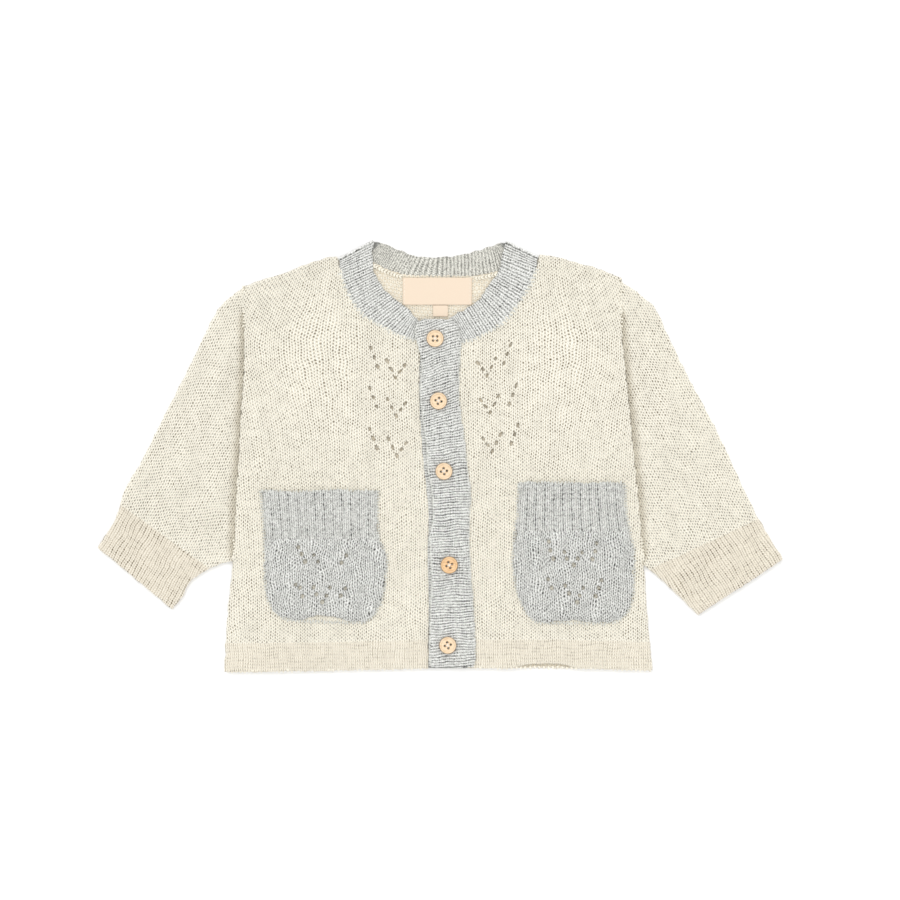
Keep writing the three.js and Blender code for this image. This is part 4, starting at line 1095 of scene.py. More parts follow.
def side_line(side):
    """The side seam below the sleeve."""
    body = body_edge[side]
    return along_y(body, float(hem(body(0.0))) + HEM_RIB * 0.4, 72.0)


def shoulder_line(side):
    top = front_top[side]
    return along_x(top, -133, -70) if side < 0 else along_x(top, 68, 122.8)


CHEST_Y = dict(
    y=[0, 60, 100, 137, 165, 199, 219, 226, 246, 267, 277, 300],
    d=[-9, -7, -4.5, -1, 3, 11, 14.5, 14.5, 8.5, -1.4, -6, -8],
)
chest = through(CHEST_Y, "y", "d")


def chest_shift(side):
    share = 1.0 if side < 0 else 0.85

    def du(x, y):
        return side * share * chest(y) * smooth(50, 115, np.abs(x))

    def dv(x, y):
        near = 1 - smooth(0, 48, np.abs(x) - 12)
        window = smooth(55, 95, y) * (1 - smooth(188, 222, y))
        return -5.0 * near * window

    return du, dv


def lace_holes(side):
    """Middles and directions of the eyelets of one front."""
    found = []
    for row_side, leg_out, leg_top, vee_out, vee_top in LACE_ROWS:
        if row_side != side:
            continue
        foot = (vee_out + 2 * VEE_DOWN[0], vee_top + 2 * VEE_DOWN[1])
        runs = [
            (leg_out, leg_top, LEG_STEP, 0),
            (vee_out, vee_top, VEE_DOWN, 0),
            (*foot, VEE_UP, 1),
        ]
        for out, top, (step_out, step_up, count), first in runs:
            turn = math.degrees(math.atan2(step_up, step_out * side)) - 90
            for k in range(first, first + count):
                found.append((side * (out + k * step_out), top + k * step_up, turn))
    return found


def front(side):
    ring = front_ring(side)
    rng = np.random.default_rng(11 + side)
    holes = []
    for x, y, turn in lace_holes(side):
        wide, long = EYELET[0] * rng.uniform(0.6, 0.85), EYELET[1] * rng.uniform(0.6, 0.95)
        holes.append(oval(x, y, wide, long, turn + rng.uniform(-14, 14)))
    stitches = solver(*chest_shift(side))

    def above_hem(x, y):
        return y - hem(x) - HEM_RIB

    zones = [
        region(stitches, stocking, above_hem),
        region(stitches, ribbing(0.5), lambda x, y: -above_hem(x, y), 1),
    ]
    table = POCKETS[side]
    low, high = through(table, "y", "low"), through(table, "y", "high")

    def under_pocket(x, y):
        return (y > table["y"][0] + 5) & (y < table["y"][-1] - 4) & (x > low(y) + 5) & (x < high(y) - 5)

    shell(
        SIDE_NAME[side] + "front", ring, face(FRONT_Z), draped(FRONT_Z),
        (cream_knit, cream_rib), zones, holes, skip=under_pocket,
        seams=[(line(side), SIDE_Z, 2.4) for line in (side_line, shoulder_line)],
    )


front(-1)
front(1)


def back():
    x0, x1 = float(body_low(0.0)), float(body_high(0.0))
    xl, xr = float(body_low(BACK_CORNER)), float(body_high(BACK_CORNER))
    top_l, top_r = float(back_top(xl)), float(back_top(xr))
    ring = ring_of(
        along_x(hem, x0, x1),
        along_y(body_high, float(hem(x1)), top_r),
        along_x(back_top, xr, xl, 400),
        along_y(body_low, top_l, float(hem(x0))),
    )
    ring = pushed(ring, along_x(back_top, *BACK_NECK_SPAN), SEAM_UNDER)
    ring = pushed(pushed(ring, armhole_line(-1), SEAM_OVER), armhole_line(1), SEAM_OVER)
    ring = uneven(ring)
    stitches = solver(lambda x, y: 0 * x, lambda x, y: 0 * x)

    def seen(x, y):
        low, high, bottom = BACK_SEEN
        return np.minimum(np.minimum(x - low, high - x), y - bottom)

    zones = [
        region(stitches, purl, seen, lean=0),
        region(stitches, lambda u, v, x, y: 0.15 + 0 * u, lambda x, y: -seen(x, y), cells=(1, 1), lean=0),
    ]
    lines = [line(side) for line in (side_line, shoulder_line) for side in (-1, 1)]
    shell(
        "back", ring, lambda x, y: CLOTH + 0 * x, lambda x, y: 0 * x, (cream_purl, cream_knit), zones,
        under_kind=1, seams=[(line, SIDE_Z, 1.2) for line in lines],
    )


back()


# Pockets
pulled_x = waves(15, 14, 9, 22, 0.5)
pulled_y = waves(16, 14, 9, 22, 0.5)
# Places where a pocket's edge is pulled: x, y, reach and the pull along x and y
POCKET_PULLS = {
    -1: [(-81, 35, 11, 0, 3.4), (-52, 35, 9, 0, -1.2), (-40, 75, 12, 1.8, 0), (-116, 96, 14, 0.8, 0),
         (-100, 124, 9, 0, -0.9), (-70, 124, 8, 0, 0.7)],
    1: [(88, 34, 12, 0, 1.6), (53, 80, 12, -1.2, 0), (130, 84, 12, 1.2, 0), (100, 129, 10, 0, -0.8)],
}


def pulled(line, side):
    for x, y, reach, lift_x, lift_y in POCKET_PULLS[side]:
        near = np.exp(-((line[:, 0] - x) ** 2 + (line[:, 1] - y) ** 2) / reach**2)[:, None]
        line = line + near * np.array([lift_x, lift_y])
    return line


def pocket(side):
    table, lace = (RIGHT_POCKET, RIGHT_POCKET_LACE) if side < 0 else (LEFT_POCKET, LEFT_POCKET_LACE)
    low, high = through(table, "y", "low"), through(table, "y", "high")
    bottom, top = table["y"][0], table["y"][-1]
    ring = pulled(uneven(strip_ring(low, high, bottom, top, 0.9), 2.0), side)
    sewn = pulled(np.vstack([along_y(low, top - 1, bottom), along_y(high, bottom, top - 1)]), side)
    holes = [oval(x, y, size * 0.85, size, 20 * side, 10) for x, y, size in lace]
    middle = (float(low(top)) + float(high(top))) / 2
    ribs = 2 * round(float(high(top) - low(top)) / POCKET_PITCH)

    def rib_uv(x, y):
        return ribs * (x - low(y)) / (high(y) - low(y)), y / POCKET_COURSE

    def rib_xy(u, v):
        y = v * POCKET_COURSE
        return low(y) + (high(y) - low(y)) * u / ribs, y

    line = top - POCKET_RIB
    zones = [
        region(solver(lambda x, y: middle + pulled_x(x, y), pulled_y), stocking, lambda x, y: line - y),
        region((rib_uv, rib_xy), ribbing(0.95, 2), lambda x, y: y - line, 1),
    ]
    shell(
        SIDE_NAME[side] + "pocket", ring, face(BAND_Z), draped(BAND_Z),
        (grey_knit, grey_broad_rib), zones, holes, seams=[(sewn, BAND_Z + 0.1, 2.6)],
    )


pocket(-1)
pocket(1)


# Front bands
def top_band():
    bottom, top = TOP_BAND["y"][0], TOP_BAND["y"][-1]
    ring = uneven(strip_ring(band_low, band_high, bottom, top, 0.9), 1.3)

    def tilt(y):
        return 0.06 + 0.26 * smooth(120, 200, y)

    def uv(x, y):
        return (y - tilt(y) * (x - 3) - stray_y(x, y)) / BAND_PITCH, (x - stray_x(x, y)) / RIB_COURSE

    def xy(u, v):
        x = v * RIB_COURSE
        y = u * BAND_PITCH
        for _ in range(12):
            x, y = v * RIB_COURSE + stray_x(x, y), u * BAND_PITCH + tilt(y) * (x - 3) + stray_y(x, y)
        return x, y

    shell(
        "buttonhole_strip", ring, face(BAND_Z), draped(BAND_Z), (grey_rib,),
        [region((uv, xy), ribbing(0.5))], seams=[(along_y(band_high, 6, 233), BAND_Z + 0.2, 2.4)],
    )


top_band()


def under_band():
    heights = [float(hem(-8.0)), 20, 45, 75, 100, 121, 150, 190, 215, 222, 238.2]
    high = [float(left_front_edge(h)) - UNDERLAP_GAP for h in heights[:-2]] + [10.0, 4.4]
    edge = through(dict(y=heights, x=high), "y", "x")
    bottom, top = heights[0], heights[-1]

    def seam(y):
        return band_seam(y) + GAP

    def uv(x, y):
        return y / BAND_PITCH, x / RIB_COURSE

    def xy(u, v):
        return v * RIB_COURSE, u * BAND_PITCH

    shell(
        "button_strip", strip_ring(seam, edge, bottom, top), draped(FRONT_Z + CLOTH), draped(FRONT_Z),
        (grey_rib,), [region((uv, xy), ribbing(0.7), cells=(4, 2))],
    )


under_band()


# Sleeves
rng_sleeve = np.random.default_rng(77)


def zipped(outer, inner):
    """Triangles between two lines of points, by even steps along both."""
    strip = []
    i = j = 0
    n, m = len(outer) - 1, len(inner) - 1
    while i < n or j < m:
        if j == m or (i < n and (i + 1) / n <= (j + 1) / m):
            strip.append((outer[i], outer[i + 1], inner[j]))
            i += 1
        else:
            strip.append((outer[i], inner[j + 1], inner[j]))
            j += 1
    return np.array(strip)


def sleeve(side):
    cut = RIGHT_SLEEVE if side < 0 else LEFT_SLEEVE
    over_x, over_y = through(cut["over"], "at", "x"), through(cut["over"], "at", "y")
    under_x, under_y = through(cut["under"], "at", "x"), through(cut["under"], "at", "y")
    body = body_edge[side]

    def place(share, at):
        y = under_y(at) + (over_y(at) - under_y(at)) * share
        straight = under_x(at) + (over_x(at) - under_x(at)) * share
        seam = body(y) + side * CURVED_GAP
        pull = np.maximum(0, 1 - at / ARMHOLE_SHARE) ** 2
        x = straight + (seam - straight) * pull
        tuck = side * (CURVED_GAP + TUCK) * np.maximum(0, 1 - at / TUCK_SHARE)
        return np.column_stack([x - tuck, y])

    steps = np.linspace(0, 1, 170)
    ones = np.ones(80)
    wide = np.linspace(0, 1, 80)
    shape = [
        place(1 + 0 * steps, steps),
        place(wide[::-1], ones),
        place(0 * steps, steps[::-1]),
        place(wide, 0 * ones),
    ]
    sides = [resampled(line, 1.1) for line in shape]
    counts = [len(s) for s in sides]
    starts = np.concatenate([[0], np.cumsum(counts)])
    ring = uneven(np.vstack(sides))
    sides = [ring[i:j] for i, j in zip(starts[:-1], starts[1:])]
    clockwise = twice_area(ring) < 0
    half = CLOTH + SLEEVE_HOLLOW / 2
    full = 2 * CLOTH + SLEEVE_HOLLOW
    lines = [np.vstack([sides[k], sides[(k + 1) % 4][:1]]) for k in range(4)]
    fold_lines, end_lines = lines[0::2], lines[1::2]

    def crown(x, y, from_fold, from_end):
        span = np.clip(from_fold / 45, 0, 1)
        puff = SLEEVE_PUFF * np.sin(math.pi / 2 * span) ** 0.7
        puff = puff * np.clip(from_end / 16, 0.25, 1)
        return np.maximum(-1.6, puff + folds_at(SLEEVE_FOLDS, x, y) * np.clip(from_fold / 12, 0, 1))

    middle = (side * 185, 130)
    plain = oblique(*SLEEVE_TURNS[side], SLEEVE_WALE, SLEEVE_COURSE, middle)
    ribbed = oblique(*SLEEVE_TURNS[side], CUFF_PITCH, RIB_COURSE, middle)
    a, b = np.array(CUFF_LINE[side], float)
    tangent = (b - a) / np.hypot(*(b - a))
    normal = np.array([-tangent[1], tangent[0]])
    end = np.array([over_x(1.0), over_y(1.0)])
    if np.dot(end - a, normal) < 0:
        normal = -normal

    def past(x, y):
        return (x - a[0]) * normal[0] + (y - a[1]) * normal[1]

    zones = [
        region(plain, stocking, lambda x, y: -past(x, y)),
        region(ribbed, ribbing(0.6), past, 1),
    ]
    outline = ring[::-1].copy() if clockwise else ring
    top, faces, kinds, fixed = net_of(outline, (), zones, rim=SLEEVE_RIM, inset=0.9)
    low, low_faces, _, _ = net_of(outline, spacing=PLAIN_STEP, rim=SLEEVE_RIM)

    def levels(points):
        fold = distance_to(points, *fold_lines, step=0.25)
        stop = distance_to(points, *end_lines, step=0.25)
        return points[:, 0], points[:, 1], fold, stop

    def valley_share(x, y):
        """How far the valley beside the armhole reaches up and down."""
        foot, rise, fade, head = VALLEY_ENDS
        return smooth(foot, rise, y) * (1 - smooth(fade, head, y))

    def beside(x, y):
        """The distance from the edge of the body out along the sleeve."""
        return side * (x - body(y))

    x, y, fold, stop = levels(top)
    sink = VALLEY_DEEP * (1 - smooth(*VALLEY_WIDE, beside(x, y))) * valley_share(x, y)
    high = full + np.maximum(-SINK_MOST, crown(x, y, fold, stop) - sink) + ripple(x, y)
    uvs = [np.array(zone["uv"](x, y)) for zone in zones]
    kind_points = (past(x, y) > 0).astype(int)
    drop = relief_of(zones, kind_points, x, y, uvs) * smooth(0.3, 2.4, fold) * smooth(0.1, 1.2, stop)
    round_fold = dome(fold, half)
    lip = 0.62 * CLOTH * (1 - dome(stop, RIM))
    z = half + (high - drop - lip - half) * round_fold
    lx, ly, lfold, lstop = levels(low)
    lz = half - half * dome(lfold, half)
    lz = lz + 0.5 * (1 - dome(lstop, RIM)) * (lfold > 1)
    # The top and the underside share the points of the folds, and not those of the ends.
    order = np.arange(fixed)
    if clockwise:
        order = order[::-1]
    on_end = np.zeros(fixed, bool)
    for k in (1, 3):
        on_end[starts[k] + 1 : starts[k + 1]] = True
    shared = ~on_end[order]
    number = np.arange(len(low)) + len(top)
    number[:fixed][shared] = np.arange(fixed)[shared]
    points = [np.column_stack([x, y, z]), np.column_stack([lx, ly, lz])]
    triangles = [faces, number[low_faces][:, ::-1]]
    kinds_all = [kinds, (past(*low[low_faces].mean(axis=1).T) > 0).astype(int)]
    # Inner faces
    where = np.empty(fixed, int)
    where[order] = np.arange(fixed)
    total = sum(len(p) for p in points)
    rows = np.linspace(0, 1, 40)
    across = np.linspace(0, 1, 14)
    inner_top, inner_low = [], []
    for at in rows:
        span = math.hypot(over_x(at) - under_x(at), over_y(at) - under_y(at))
        shares = CLOTH / span + (1 - 2 * CLOTH / span) * across
        p = place(shares, at + 0 * shares)
        f = np.minimum(across, 1 - across) * span
        s = np.full(len(p), min(at, 1 - at) * 200.0)
        near = (1 - smooth(2, 8, beside(p[:, 0], p[:, 1]))) * valley_share(p[:, 0], p[:, 1])
        lift = np.maximum(-0.4, crown(p[:, 0], p[:, 1], f, s) * 0.9 - VALLEY_DEEP * near)
        edge = dome(f, 1.2)
        inner_top.append(np.column_stack([p, half + (CLOTH + SLEEVE_HOLLOW + lift - half) * edge]))
        inner_low.append(np.column_stack([p, half + (CLOTH - half) * edge]))
    count_across = len(across)
    for layer, turn in ((inner_top, 1), (inner_low, -1)):
        points.append(np.vstack(layer))
        i, j = np.meshgrid(np.arange(len(rows) - 1), np.arange(count_across - 1), indexing="ij")
        p0 = (i * count_across + j).ravel() + total
        quads = np.column_stack([p0, p0 + 1, p0 + count_across + 1, p0 + count_across])
        made = np.vstack([quads[:, [0, 1, 2]], quads[:, [0, 2, 3]]])
        if (side < 0) != (turn < 0):
            made = made[:, ::-1]
        triangles.append(made)
        centre = np.vstack(layer)[made - total].mean(axis=1)
        kinds_all.append((past(centre[:, 0], centre[:, 1]) > 0).astype(int))
        total += len(points[-1])
    # End faces, from the outer edge to the inner one
    inner_start = len(points[0]) + len(points[1])
    size = len(rows) * count_across
    for k, row in ((1, len(rows) - 1), (3, 0)):
        ring_line = [starts[k] + i for i in range(counts[k])] + [starts[(k + 1) % 4] % fixed]
        outer_ring = where[np.array(ring_line) % fixed]
        for layer in (0, 1):
            outer = outer_ring if layer == 0 else number[outer_ring]
            inner = inner_start + layer * size + row * count_across + np.arange(count_across)
            if k == 1:
                inner = inner[::-1]
            strip = zipped(outer, inner)
            if (side < 0) == (layer == 0):
                strip = strip[:, ::-1]
            triangles.append(strip)
            kinds_all.append(np.full(len(strip), 1 if k == 1 else 0))
    points = np.vstack(points)
    triangles = np.vstack(triangles)
    kinds_all = np.concatenate(kinds_all)
    _, first, same = np.unique(np.round(points, 4), axis=0, return_index=True, return_inverse=True)
    points, triangles = points[first], same.reshape(-1)[triangles]
    whole = (triangles != np.roll(triangles, 1, axis=1)).all(axis=1)
    triangles, kinds_all = triangles[whole], kinds_all[whole]
    every = [np.array(zone["uv"](points[:, 0], points[:, 1])) for zone in zones]
    corner = np.stack([table[:, triangles].transpose(1, 2, 0) for table in every])
    corner = corner[kinds_all, np.arange(len(triangles))]
    # Deeper in the valley the wool gets painted shade, light then deep, with a ragged border.
    centre = points[triangles].mean(axis=1)
    lit = centre[:, 2] > half
    away = beside(centre[:, 0], centre[:, 1]) + rng_sleeve.uniform(-0.8, 0.8, len(centre))
    away = away / np.maximum(0.01, valley_share(centre[:, 0], centre[:, 1]))
    kinds_all = np.where(lit & (kinds_all == 0) & (away < VALLEY_DARK[0]), 2, kinds_all)
    kinds_all = np.where(lit & (kinds_all == 2) & (away < VALLEY_DARK[1]), 3, kinds_all)
    wool = (cream_knit, cream_cuff, cream_valley_shade, cream_valley_deep_shade)
    make(SIDE_NAME[side] + "sleeve", points, triangles, corner, kinds_all, wool)


sleeve(-1)
sleeve(1)


# The neckband
def catmull(points):
    """A centripetal curve through points, taken at shares of its rows."""
    p = np.asarray(points, float)
    rows = np.vstack([2 * p[0] - p[1], p, 2 * p[-1] - p[-2]])

    def at(share):
        place = np.clip(share, 0, 1) * (len(p) - 1)
        i = min(int(place), len(p) - 2)
        w = place - i
        p0, p1, p2, p3 = rows[i : i + 4]
        d0, d1, d2 = (max(np.sum((b - a) ** 2) ** 0.25, 1e-4) for a, b in ((p0, p1), (p1, p2), (p2, p3)))
        t1 = (p1 - p0) / d0 - (p2 - p0) / (d0 + d1) + (p2 - p1) / d1
        t2 = (p2 - p1) / d1 - (p3 - p1) / (d1 + d2) + (p3 - p2) / d2
        t1, t2 = t1 * d1, t2 * d1
        c2 = -3 * p1 + 3 * p2 - 2 * t1 - t2
        c3 = 2 * p1 - 2 * p2 + t1 + t2
        return p1 + t1 * w + c2 * w**2 + c3 * w**3

    return at


def neckband():
    front_z = FRONT_Z + CLOTH / 2
    back_z = CLOTH / 2
    turn_radius = (front_z - back_z) / 2
    sections = []  # seam, free, normal, ribs so far, courses across

    def sewn(rows, neckline):
        out = []
        for x, fx, fy in zip(rows["seamX"], rows["freeX"], rows["freeY"]):
            slope = float(neckline(x + 0.2) - neckline(x - 0.2)) / 0.4
            step = CURVED_GAP / math.hypot(1, slope)
            out.append((x - slope * step, float(neckline(x)) + step, fx, fy))
        return out

    def run(rows, ribs, z, face, count, first):
        seam = catmull([(r[0], r[1]) for r in rows])
        free = catmull([(r[2], r[3]) for r in rows])
        for k in range(ribs * 6 + 1):
            share = k / (ribs * 6)
            s, f = seam(share), free(share)
            lift = float(drape(s[0], s[1])) if z > FRONT_Z else 0.0
            sections.append(((*s, z + lift), (*f, z + lift), (0, 0, face), first + k / 6, count))

    def turn(fold, downwards, first, counts):
        seam, free = np.array(fold[:2]), np.array(fold[2:])
        away = (free - seam) / np.hypot(*(free - seam))
        out = np.array([-away[1], away[0]])
        out = out if out[1] > 0 else -out
        for k in range(1, 6):
            share = k / 6
            angle = math.pi * (share if downwards else 1 - share)
            n = np.array([*(out * math.sin(angle)), math.cos(angle)])
            centre = n * turn_radius + np.array([0, 0, (front_z + back_z) / 2])
            count = counts[0] + (counts[1] - counts[0]) * share
            sections.append((np.array([*seam, 0]) + centre, np.array([*free, 0]) + centre, n,
                             first + share, count))

    right, left = SHOULDER_FOLD[-1], SHOULDER_FOLD[1]
    right_part = sewn(NECK_RIGHT, front_top[-1])[::-1]
    back_part = sewn(NECK_BACK, back_top)
    left_part = sewn(NECK_LEFT, front_top[1])
    wide, slim = NECK_COURSES
    back_from = NECK_RIBS[0] + 1
    back_to = back_from + NECK_RIBS[1]
    run([*right_part, right], NECK_RIBS[0], front_z, 1, wide, 0)
    turn(right, True, back_from - 1, (wide, slim))
    run([right, *back_part, left], NECK_RIBS[1], back_z, -1, slim, back_from)
    turn(left, False, back_to, (slim, wide))
    run([left, *left_part], NECK_RIBS[0], front_z, 1, wide, back_to + 1)
    seam = np.array([s[0] for s in sections], float)
    free = np.array([s[1] for s in sections], float)
    normal = np.array([s[2] for s in sections], float)
    ribs = np.array([s[3] for s in sections])
    courses = np.array([s[4] for s in sections])
    across = 42
    share = np.linspace(0, 1, across + 1)
    away = free - seam
    seam = seam - away / np.linalg.norm(away, axis=1)[:, None] * 0.6
    wave = edge_wave(free[:, 0], free[:, 1]) * 1.2
    free = free + away / np.linalg.norm(away, axis=1)[:, None] * wave[:, None]
    away = free - seam
    length = np.linalg.norm(away, axis=1)
    u = np.repeat(ribs[:, None], across + 1, axis=1)
    v = share[None, :] * courses[:, None]
    d = np.minimum(share, 1 - share)[None, :] * length[:, None]
    drop = ribbing(0.55)(u, v, None, None) * smooth(0.1, 0.9, d)
    drop = drop * (1 - 0.5 * smooth(24, 27, u) * (1 - smooth(49, 52, u)))
    off = (CLOTH / 2) * dome(d, RIM)
    facing = np.where(normal[:, 2] >= 0, 1.0, -1.0)
    base = seam[:, None, :] + away[:, None, :] * share[None, :, None]
    upper = base + normal[:, None, :] * (off - np.where(facing > 0, 1, 0.25)[:, None] * drop)[:, :, None]
    lower = base - normal[:, None, :] * (off - np.where(facing < 0, 1, 0.25)[:, None] * drop)[:, :, None]
    n, m = len(sections), across + 1
    lower_inner = lower[:, 1:-1]
    points = np.vstack([upper.reshape(-1, 3), lower_inner.reshape(-1, 3)])
    number = np.full((n, m), -1)
    number[:, 0] = np.arange(n) * m
    number[:, -1] = np.arange(n) * m + m - 1
    number[:, 1:-1] = n * m + np.arange(n * (m - 2)).reshape(n, m - 2)
    top = np.arange(n * m).reshape(n, m)
    triangles = []
    for table, turned in ((top, True), (number, False)):
        a, b = table[:-1, :-1].ravel(), table[1:, :-1].ravel()
        c, e = table[1:, 1:].ravel(), table[:-1, 1:].ravel()
        made = np.vstack([np.column_stack([a, b, c]), np.column_stack([a, c, e])])
        triangles.append(made if turned else made[:, ::-1])
    for k, back_first in ((0, True), (n - 1, False)):
        a, b = top[k], number[k]
        for j in range(m - 1):
            quad = [(a[j], a[j + 1], b[j + 1]), (a[j], b[j + 1], b[j])]
            for tri in quad:
                if len(set(tri)) == 3:
                    triangles.append(np.array([tri if back_first else tri[::-1]]))
    triangles = np.vstack(triangles)
    flat_u = np.concatenate([u.ravel(), u[:, 1:-1].ravel()])
    flat_v = np.concatenate([v.ravel(), v[:, 1:-1].ravel()])
    corner = np.stack([flat_u, flat_v], axis=1)[triangles]
    middle = flat_u[triangles].mean(axis=1)
    # Faces just beyond each shoulder fold get painted shade
    fold_shaded = ((middle > 21.6) & (middle < 26.5)) | ((middle > 50) & (middle < 54.4))
    kinds = np.where(fold_shaded, 1, np.where((middle > 26) & (middle < 51), 2, 0))
    make("neck_strip", points, triangles, corner, kinds, (grey_rib, grey_fold_shade, grey_back))


neckband()


# Yarn ends, seam stitches and the ends of ribs, as small soft bits of yarn
def bits(name, spots, material, around=7, rings=4):
    """Each spot is x, y, z, direction in degrees, and the bit's length, width and height."""
    ring_angle = np.linspace(0, 2 * math.pi, around, endpoint=False)
    rise = np.linspace(0, math.pi, rings + 2)
    shape = [(-1.0, 0.0, 0.0)]
    for a in rise[1:-1]:
        for b in ring_angle:
            shape.append((-math.cos(a), math.sin(a) * math.cos(b), math.sin(a) * math.sin(b)))
    shape.append((1.0, 0.0, 0.0))
    shape = np.array(shape)
    faces = []
    last = len(shape) - 1
    for j in range(around):
        k = (j + 1) % around
        faces.append((0, 1 + k, 1 + j))
        for i in range(rings - 1):
            a, b = 1 + i * around, 1 + (i + 1) * around
            faces.append((a + j, a + k, b + k))
            faces.append((a + j, b + k, b + j))
        a = 1 + (rings - 1) * around
        faces.append((last, a + j, a + k))
    faces = np.array(faces)
    points, triangles, uvs = [], [], []
    rng = np.random.default_rng(len(spots))
    for n, (x, y, z, turn, long, wide, high) in enumerate(spots):
        c, s = math.cos(math.radians(turn)), math.sin(math.radians(turn))
        bend = rng.uniform(-0.25, 0.25)
        px = shape[:, 0] * long / 2
        py = shape[:, 1] * wide / 2 + bend * wide * (shape[:, 0] ** 2 - 0.4)
        pz = shape[:, 2] * high / 2
        points.append(np.column_stack([x + px * c - py * s, y + px * s + py * c, z + pz]))
        triangles.append(faces + n * len(shape))
        cell = rng.integers(0, 400, 2)
        uvs.append(np.column_stack([
            0.25 + 0.07 * shape[:, 1] + cell[0], 0.75 + 0.16 * shape[:, 0] + cell[1],
        ]))
    triangles = np.vstack(triangles)
    make(name, np.vstack(points), triangles, np.vstack(uvs)[triangles], None, (material,))


def along(line, step, seed, tilt=90.0, spread=0.3, shift=0.0, long=2.2, wide=1.1, high=0.9, z=0.0,
          swing=25.0):
    """Bits set along a line. The tilt is against the line, and the shift is to its left."""
    rng = np.random.default_rng(seed)
    line = np.asarray(line, float)
    run = np.concatenate([[0], np.cumsum(np.hypot(*np.diff(line, axis=0).T))])
    spots = []
    at = step * 0.5
    while at < run[-1]:
        x, y = np.interp(at, run, line[:, 0]), np.interp(at, run, line[:, 1])
        x2, y2 = np.interp(at + 0.4, run, line[:, 0]), np.interp(at + 0.4, run, line[:, 1])
        x1, y1 = np.interp(at - 0.4, run, line[:, 0]), np.interp(at - 0.4, run, line[:, 1])
        turn = math.atan2(y2 - y1, x2 - x1)
        off = shift + rng.uniform(-spread, spread)
        px, py = x - math.sin(turn) * off, y + math.cos(turn) * off
        level = z(px, py) if callable(z) else z
        size = rng.uniform(0.8, 1.2)
        spots.append((
            px, py, float(level) + rng.uniform(-0.1, 0.1),
            math.degrees(turn) + tilt + rng.uniform(-swing, swing),
            long * size, wide * rng.uniform(0.85, 1.15), high,
        ))
        at += step * rng.uniform(0.85, 1.15)
    return spots


def front_level(x, y):
    return FRONT_Z + CLOTH + float(drape(x, y))


cream_spots, grey_spots = [], []
for side in (-1, 1):
    seam = along_x(front_top[side], *NECK_STITCHES[side])
    cream_spots += along(seam, 4.2, 21 + side, shift=0.3, long=2.4, spread=0.8, swing=35,
                         z=lambda x, y: front_level(x, y) - 0.1)
    for seed, off in ((31, 0.6), (33, -0.2)):
        grey_spots += along(seam, 3.0, seed + side, shift=off, long=2.3, spread=0.6, swing=40,
                            z=lambda x, y: front_level(x, y) - 0.1)
    table = POCKETS[side]
    low, high = through(table, "y", "low"), through(table, "y", "high")
    bottom, top = table["y"][0], table["y"][-1]
    rim_line = np.vstack([
        along_y(low, top, bottom, 120),
        np.array([[float(high(bottom)), bottom]]),
        along_y(high, bottom, top, 120),
    ])
    rim_line = pulled(rim_line, side)
    grey_spots += along(rim_line, 1.9, 41 + side, shift=-0.5, long=2.3, spread=0.6,
                        z=lambda x, y: front_level(x, y) + 0.25, swing=40)
    brim = pulled(np.column_stack([np.linspace(low(top), high(top), 60), np.full(60, top)]), side)
    grey_spots += along(brim, 2.3, 43 + side, shift=-0.2, long=2.2, wide=1.5, high=1.5, spread=0.3,
                        z=lambda x, y: BAND_Z + 1.2 + float(drape(x, y)), swing=20)
    for part in (slice(0, 16), slice(168, 200)):
        cream_spots += along(armhole_line(side)[part], 2.3, 51 + side, shift=0.4 * side, long=2.2,
                             spread=0.4, z=lambda x, y: front_level(x, y) - 0.35, swing=30)
# The band's edges
grey_spots += along(along_y(band_high, 5, 232), 1.8, 61, shift=0.3, long=2.2,
                    z=lambda x, y: front_level(x, y) + 0.4, swing=30)
grey_spots += along(along_y(band_low, 5, 236), 2.3, 62, tilt=18, shift=-0.35, long=2.6, wide=1.3, high=1.3,
                    z=lambda x, y: BAND_Z + 1.15 + float(drape(x, y)), swing=22)
# The chained seam under the back band
for neck_from, neck_to in ((-54, -26), (23.5, 52)):
    neck_seam = along_x(back_top, neck_from, neck_to)
    for shift, tilt in ((-1.0, 35), (-2.1, -35)):
        cream_spots += along(neck_seam, 2.2, 71, tilt=tilt, shift=shift, long=2.6, wide=1.3, high=1.2,
                             z=CLOTH + 0.8, spread=0.1, swing=8)
# Ends of the ribs at the hem
for side in (-1, 1):
    x0, x1 = (-145.5, -8.6) if side < 0 else (22.5, 143.6)
    cream_spots += along(along_x(hem, x0, x1), 3.06, 81 + side, shift=0.5, long=2.4, wide=1.7, high=1.2,
                         z=lambda x, y: FRONT_Z + 0.9 + float(drape(x, y)), spread=0.3, swing=14)


# Tape and tag
def label(name, low, high, bottom, top, thick):
    box = np.array([(low, bottom), (high, bottom), (high, top), (low, top), (low, bottom)], float)
    ring = ring_of(*(box[k : k + 2] for k in range(4)), step=1.0)
    shell(
        name, ring,
        lambda x, y: FRONT_Z + thick + 0 * x,
        lambda x, y: FRONT_Z + 0 * x,
        (woven,), spacing=2.0, rim=0.5,
    )


label("tape", -25.2, 21.6, 249.6, 268.0, 0.8)
label("tag", -4.8, 5.4, 241.6, 249.3, 0.6)

# Buttons
thread_spots = []
BUTTON_WIDE = 11.8
BUTTON_THICK = 2.6
BUTTON_RIM = 1.1
BUTTON_DISH = 0.5
HOLE_WIDE = 1.5
HOLE_SPREAD = 2.8


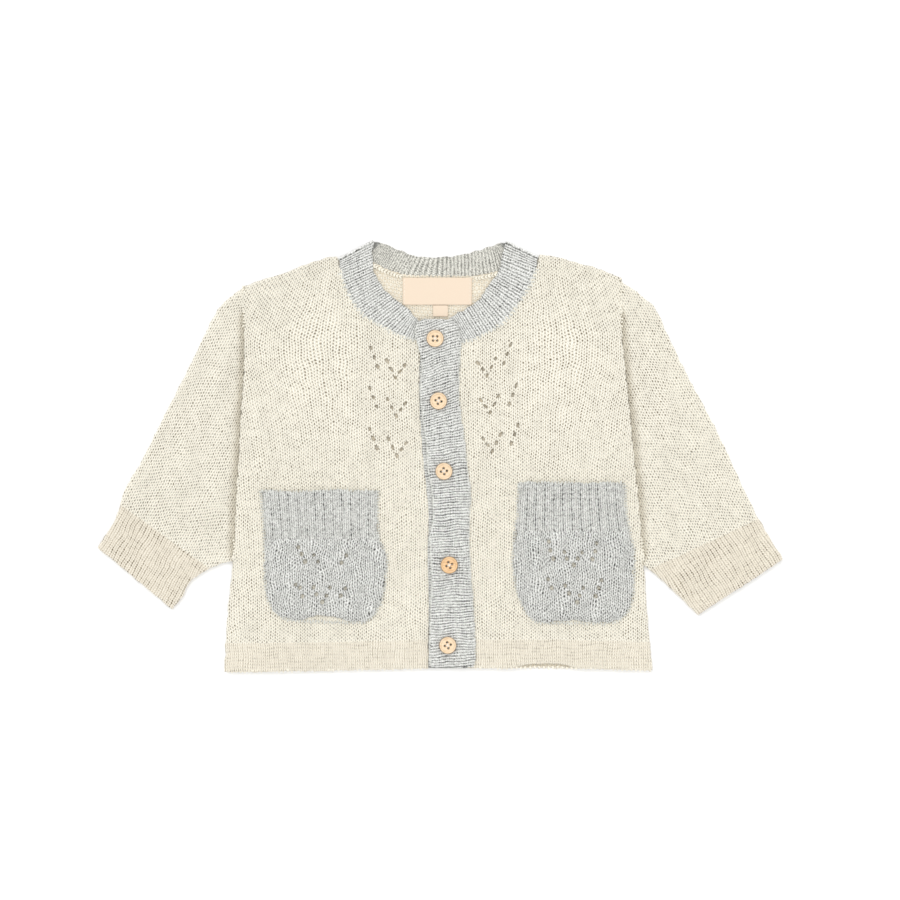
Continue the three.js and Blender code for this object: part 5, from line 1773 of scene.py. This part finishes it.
def button(index, x0, y0, turn):
    z0 = BUTTON_Z - 0.2 + float(drape(x0, y0))
    radius = BUTTON_WIDE / 2
    ring = oval(x0, y0, BUTTON_WIDE, BUTTON_WIDE, 0, 56)
    reach = HOLE_SPREAD / math.sqrt(2)
    middles = []
    for step in (0, 90, 180, 270):
        a = math.radians(step + turn)
        middles.append((x0 + reach * math.cos(a), y0 + reach * math.sin(a)))
    holes = [oval(x, y, HOLE_WIDE, HOLE_WIDE, 0, 14) for x, y in middles]

    def crest(x, y):
        r = np.hypot(x - x0, y - y0)
        dish = BUTTON_DISH * (1 - smooth(radius - BUTTON_RIM - 0.7, radius - BUTTON_RIM + 0.4, r))
        return z0 + BUTTON_THICK - dish

    face = z0 + BUTTON_THICK - BUTTON_DISH
    for step in (0, 90):
        length = 2 * reach * 0.86
        thread_spots.append((x0, y0, face + 0.12, step + turn, length, 0.85, 0.7))
    shell(
        f"button_{index}", ring, crest, lambda x, y: z0 + 0 * x,
        (dark_wood if index == 4 else wood,), holes=holes,
        spacing=0.5, rim=0.5, uv=lambda x, y: (np.hypot(x - x0, y - y0) / radius, 0 * x),
    )


for i, row in enumerate(BUTTONS):
    button(i + 1, *row)
for end_x in (-24.1, 20.4):
    for row in range(7):
        thread_spots.append((end_x, 251.2 + 2.5 * row, FRONT_Z + 0.8, 90, 1.7, 0.5, 0.35))
bits("threads", thread_spots, thread)
bits("cream_stitches", cream_spots, cream_bit)
bits("grey_stitches", grey_spots, grey_bit)

NODES = {
    "right_front": "front_right",
    "left_front": "front_left",
    "back": "back_panel",
    "right_sleeve": "sleeve_right",
    "left_sleeve": "sleeve_left",
    "neck_strip": "neckband",
    "buttonhole_strip": "buttonhole_band",
    "button_strip": "button_band",
    "right_pocket": "pocket_right",
    "left_pocket": "pocket_left",
    "tape": "neck_tape",
    "tag": "size_tag",
    **{f"button_{i}": f"button_{i}" for i in range(1, 6)},
}
for name, piece in PIECES.items():
    piece.name = "v_" + name
    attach(piece, "root")
    if name in NODES:
        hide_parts(NODES[name])

for piece in PIECES.values():
    count = len(piece.data.polygons)
    print("triangles", piece.name, count)
print("triangles in all", sum(len(p.data.polygons) for p in PIECES.values()))
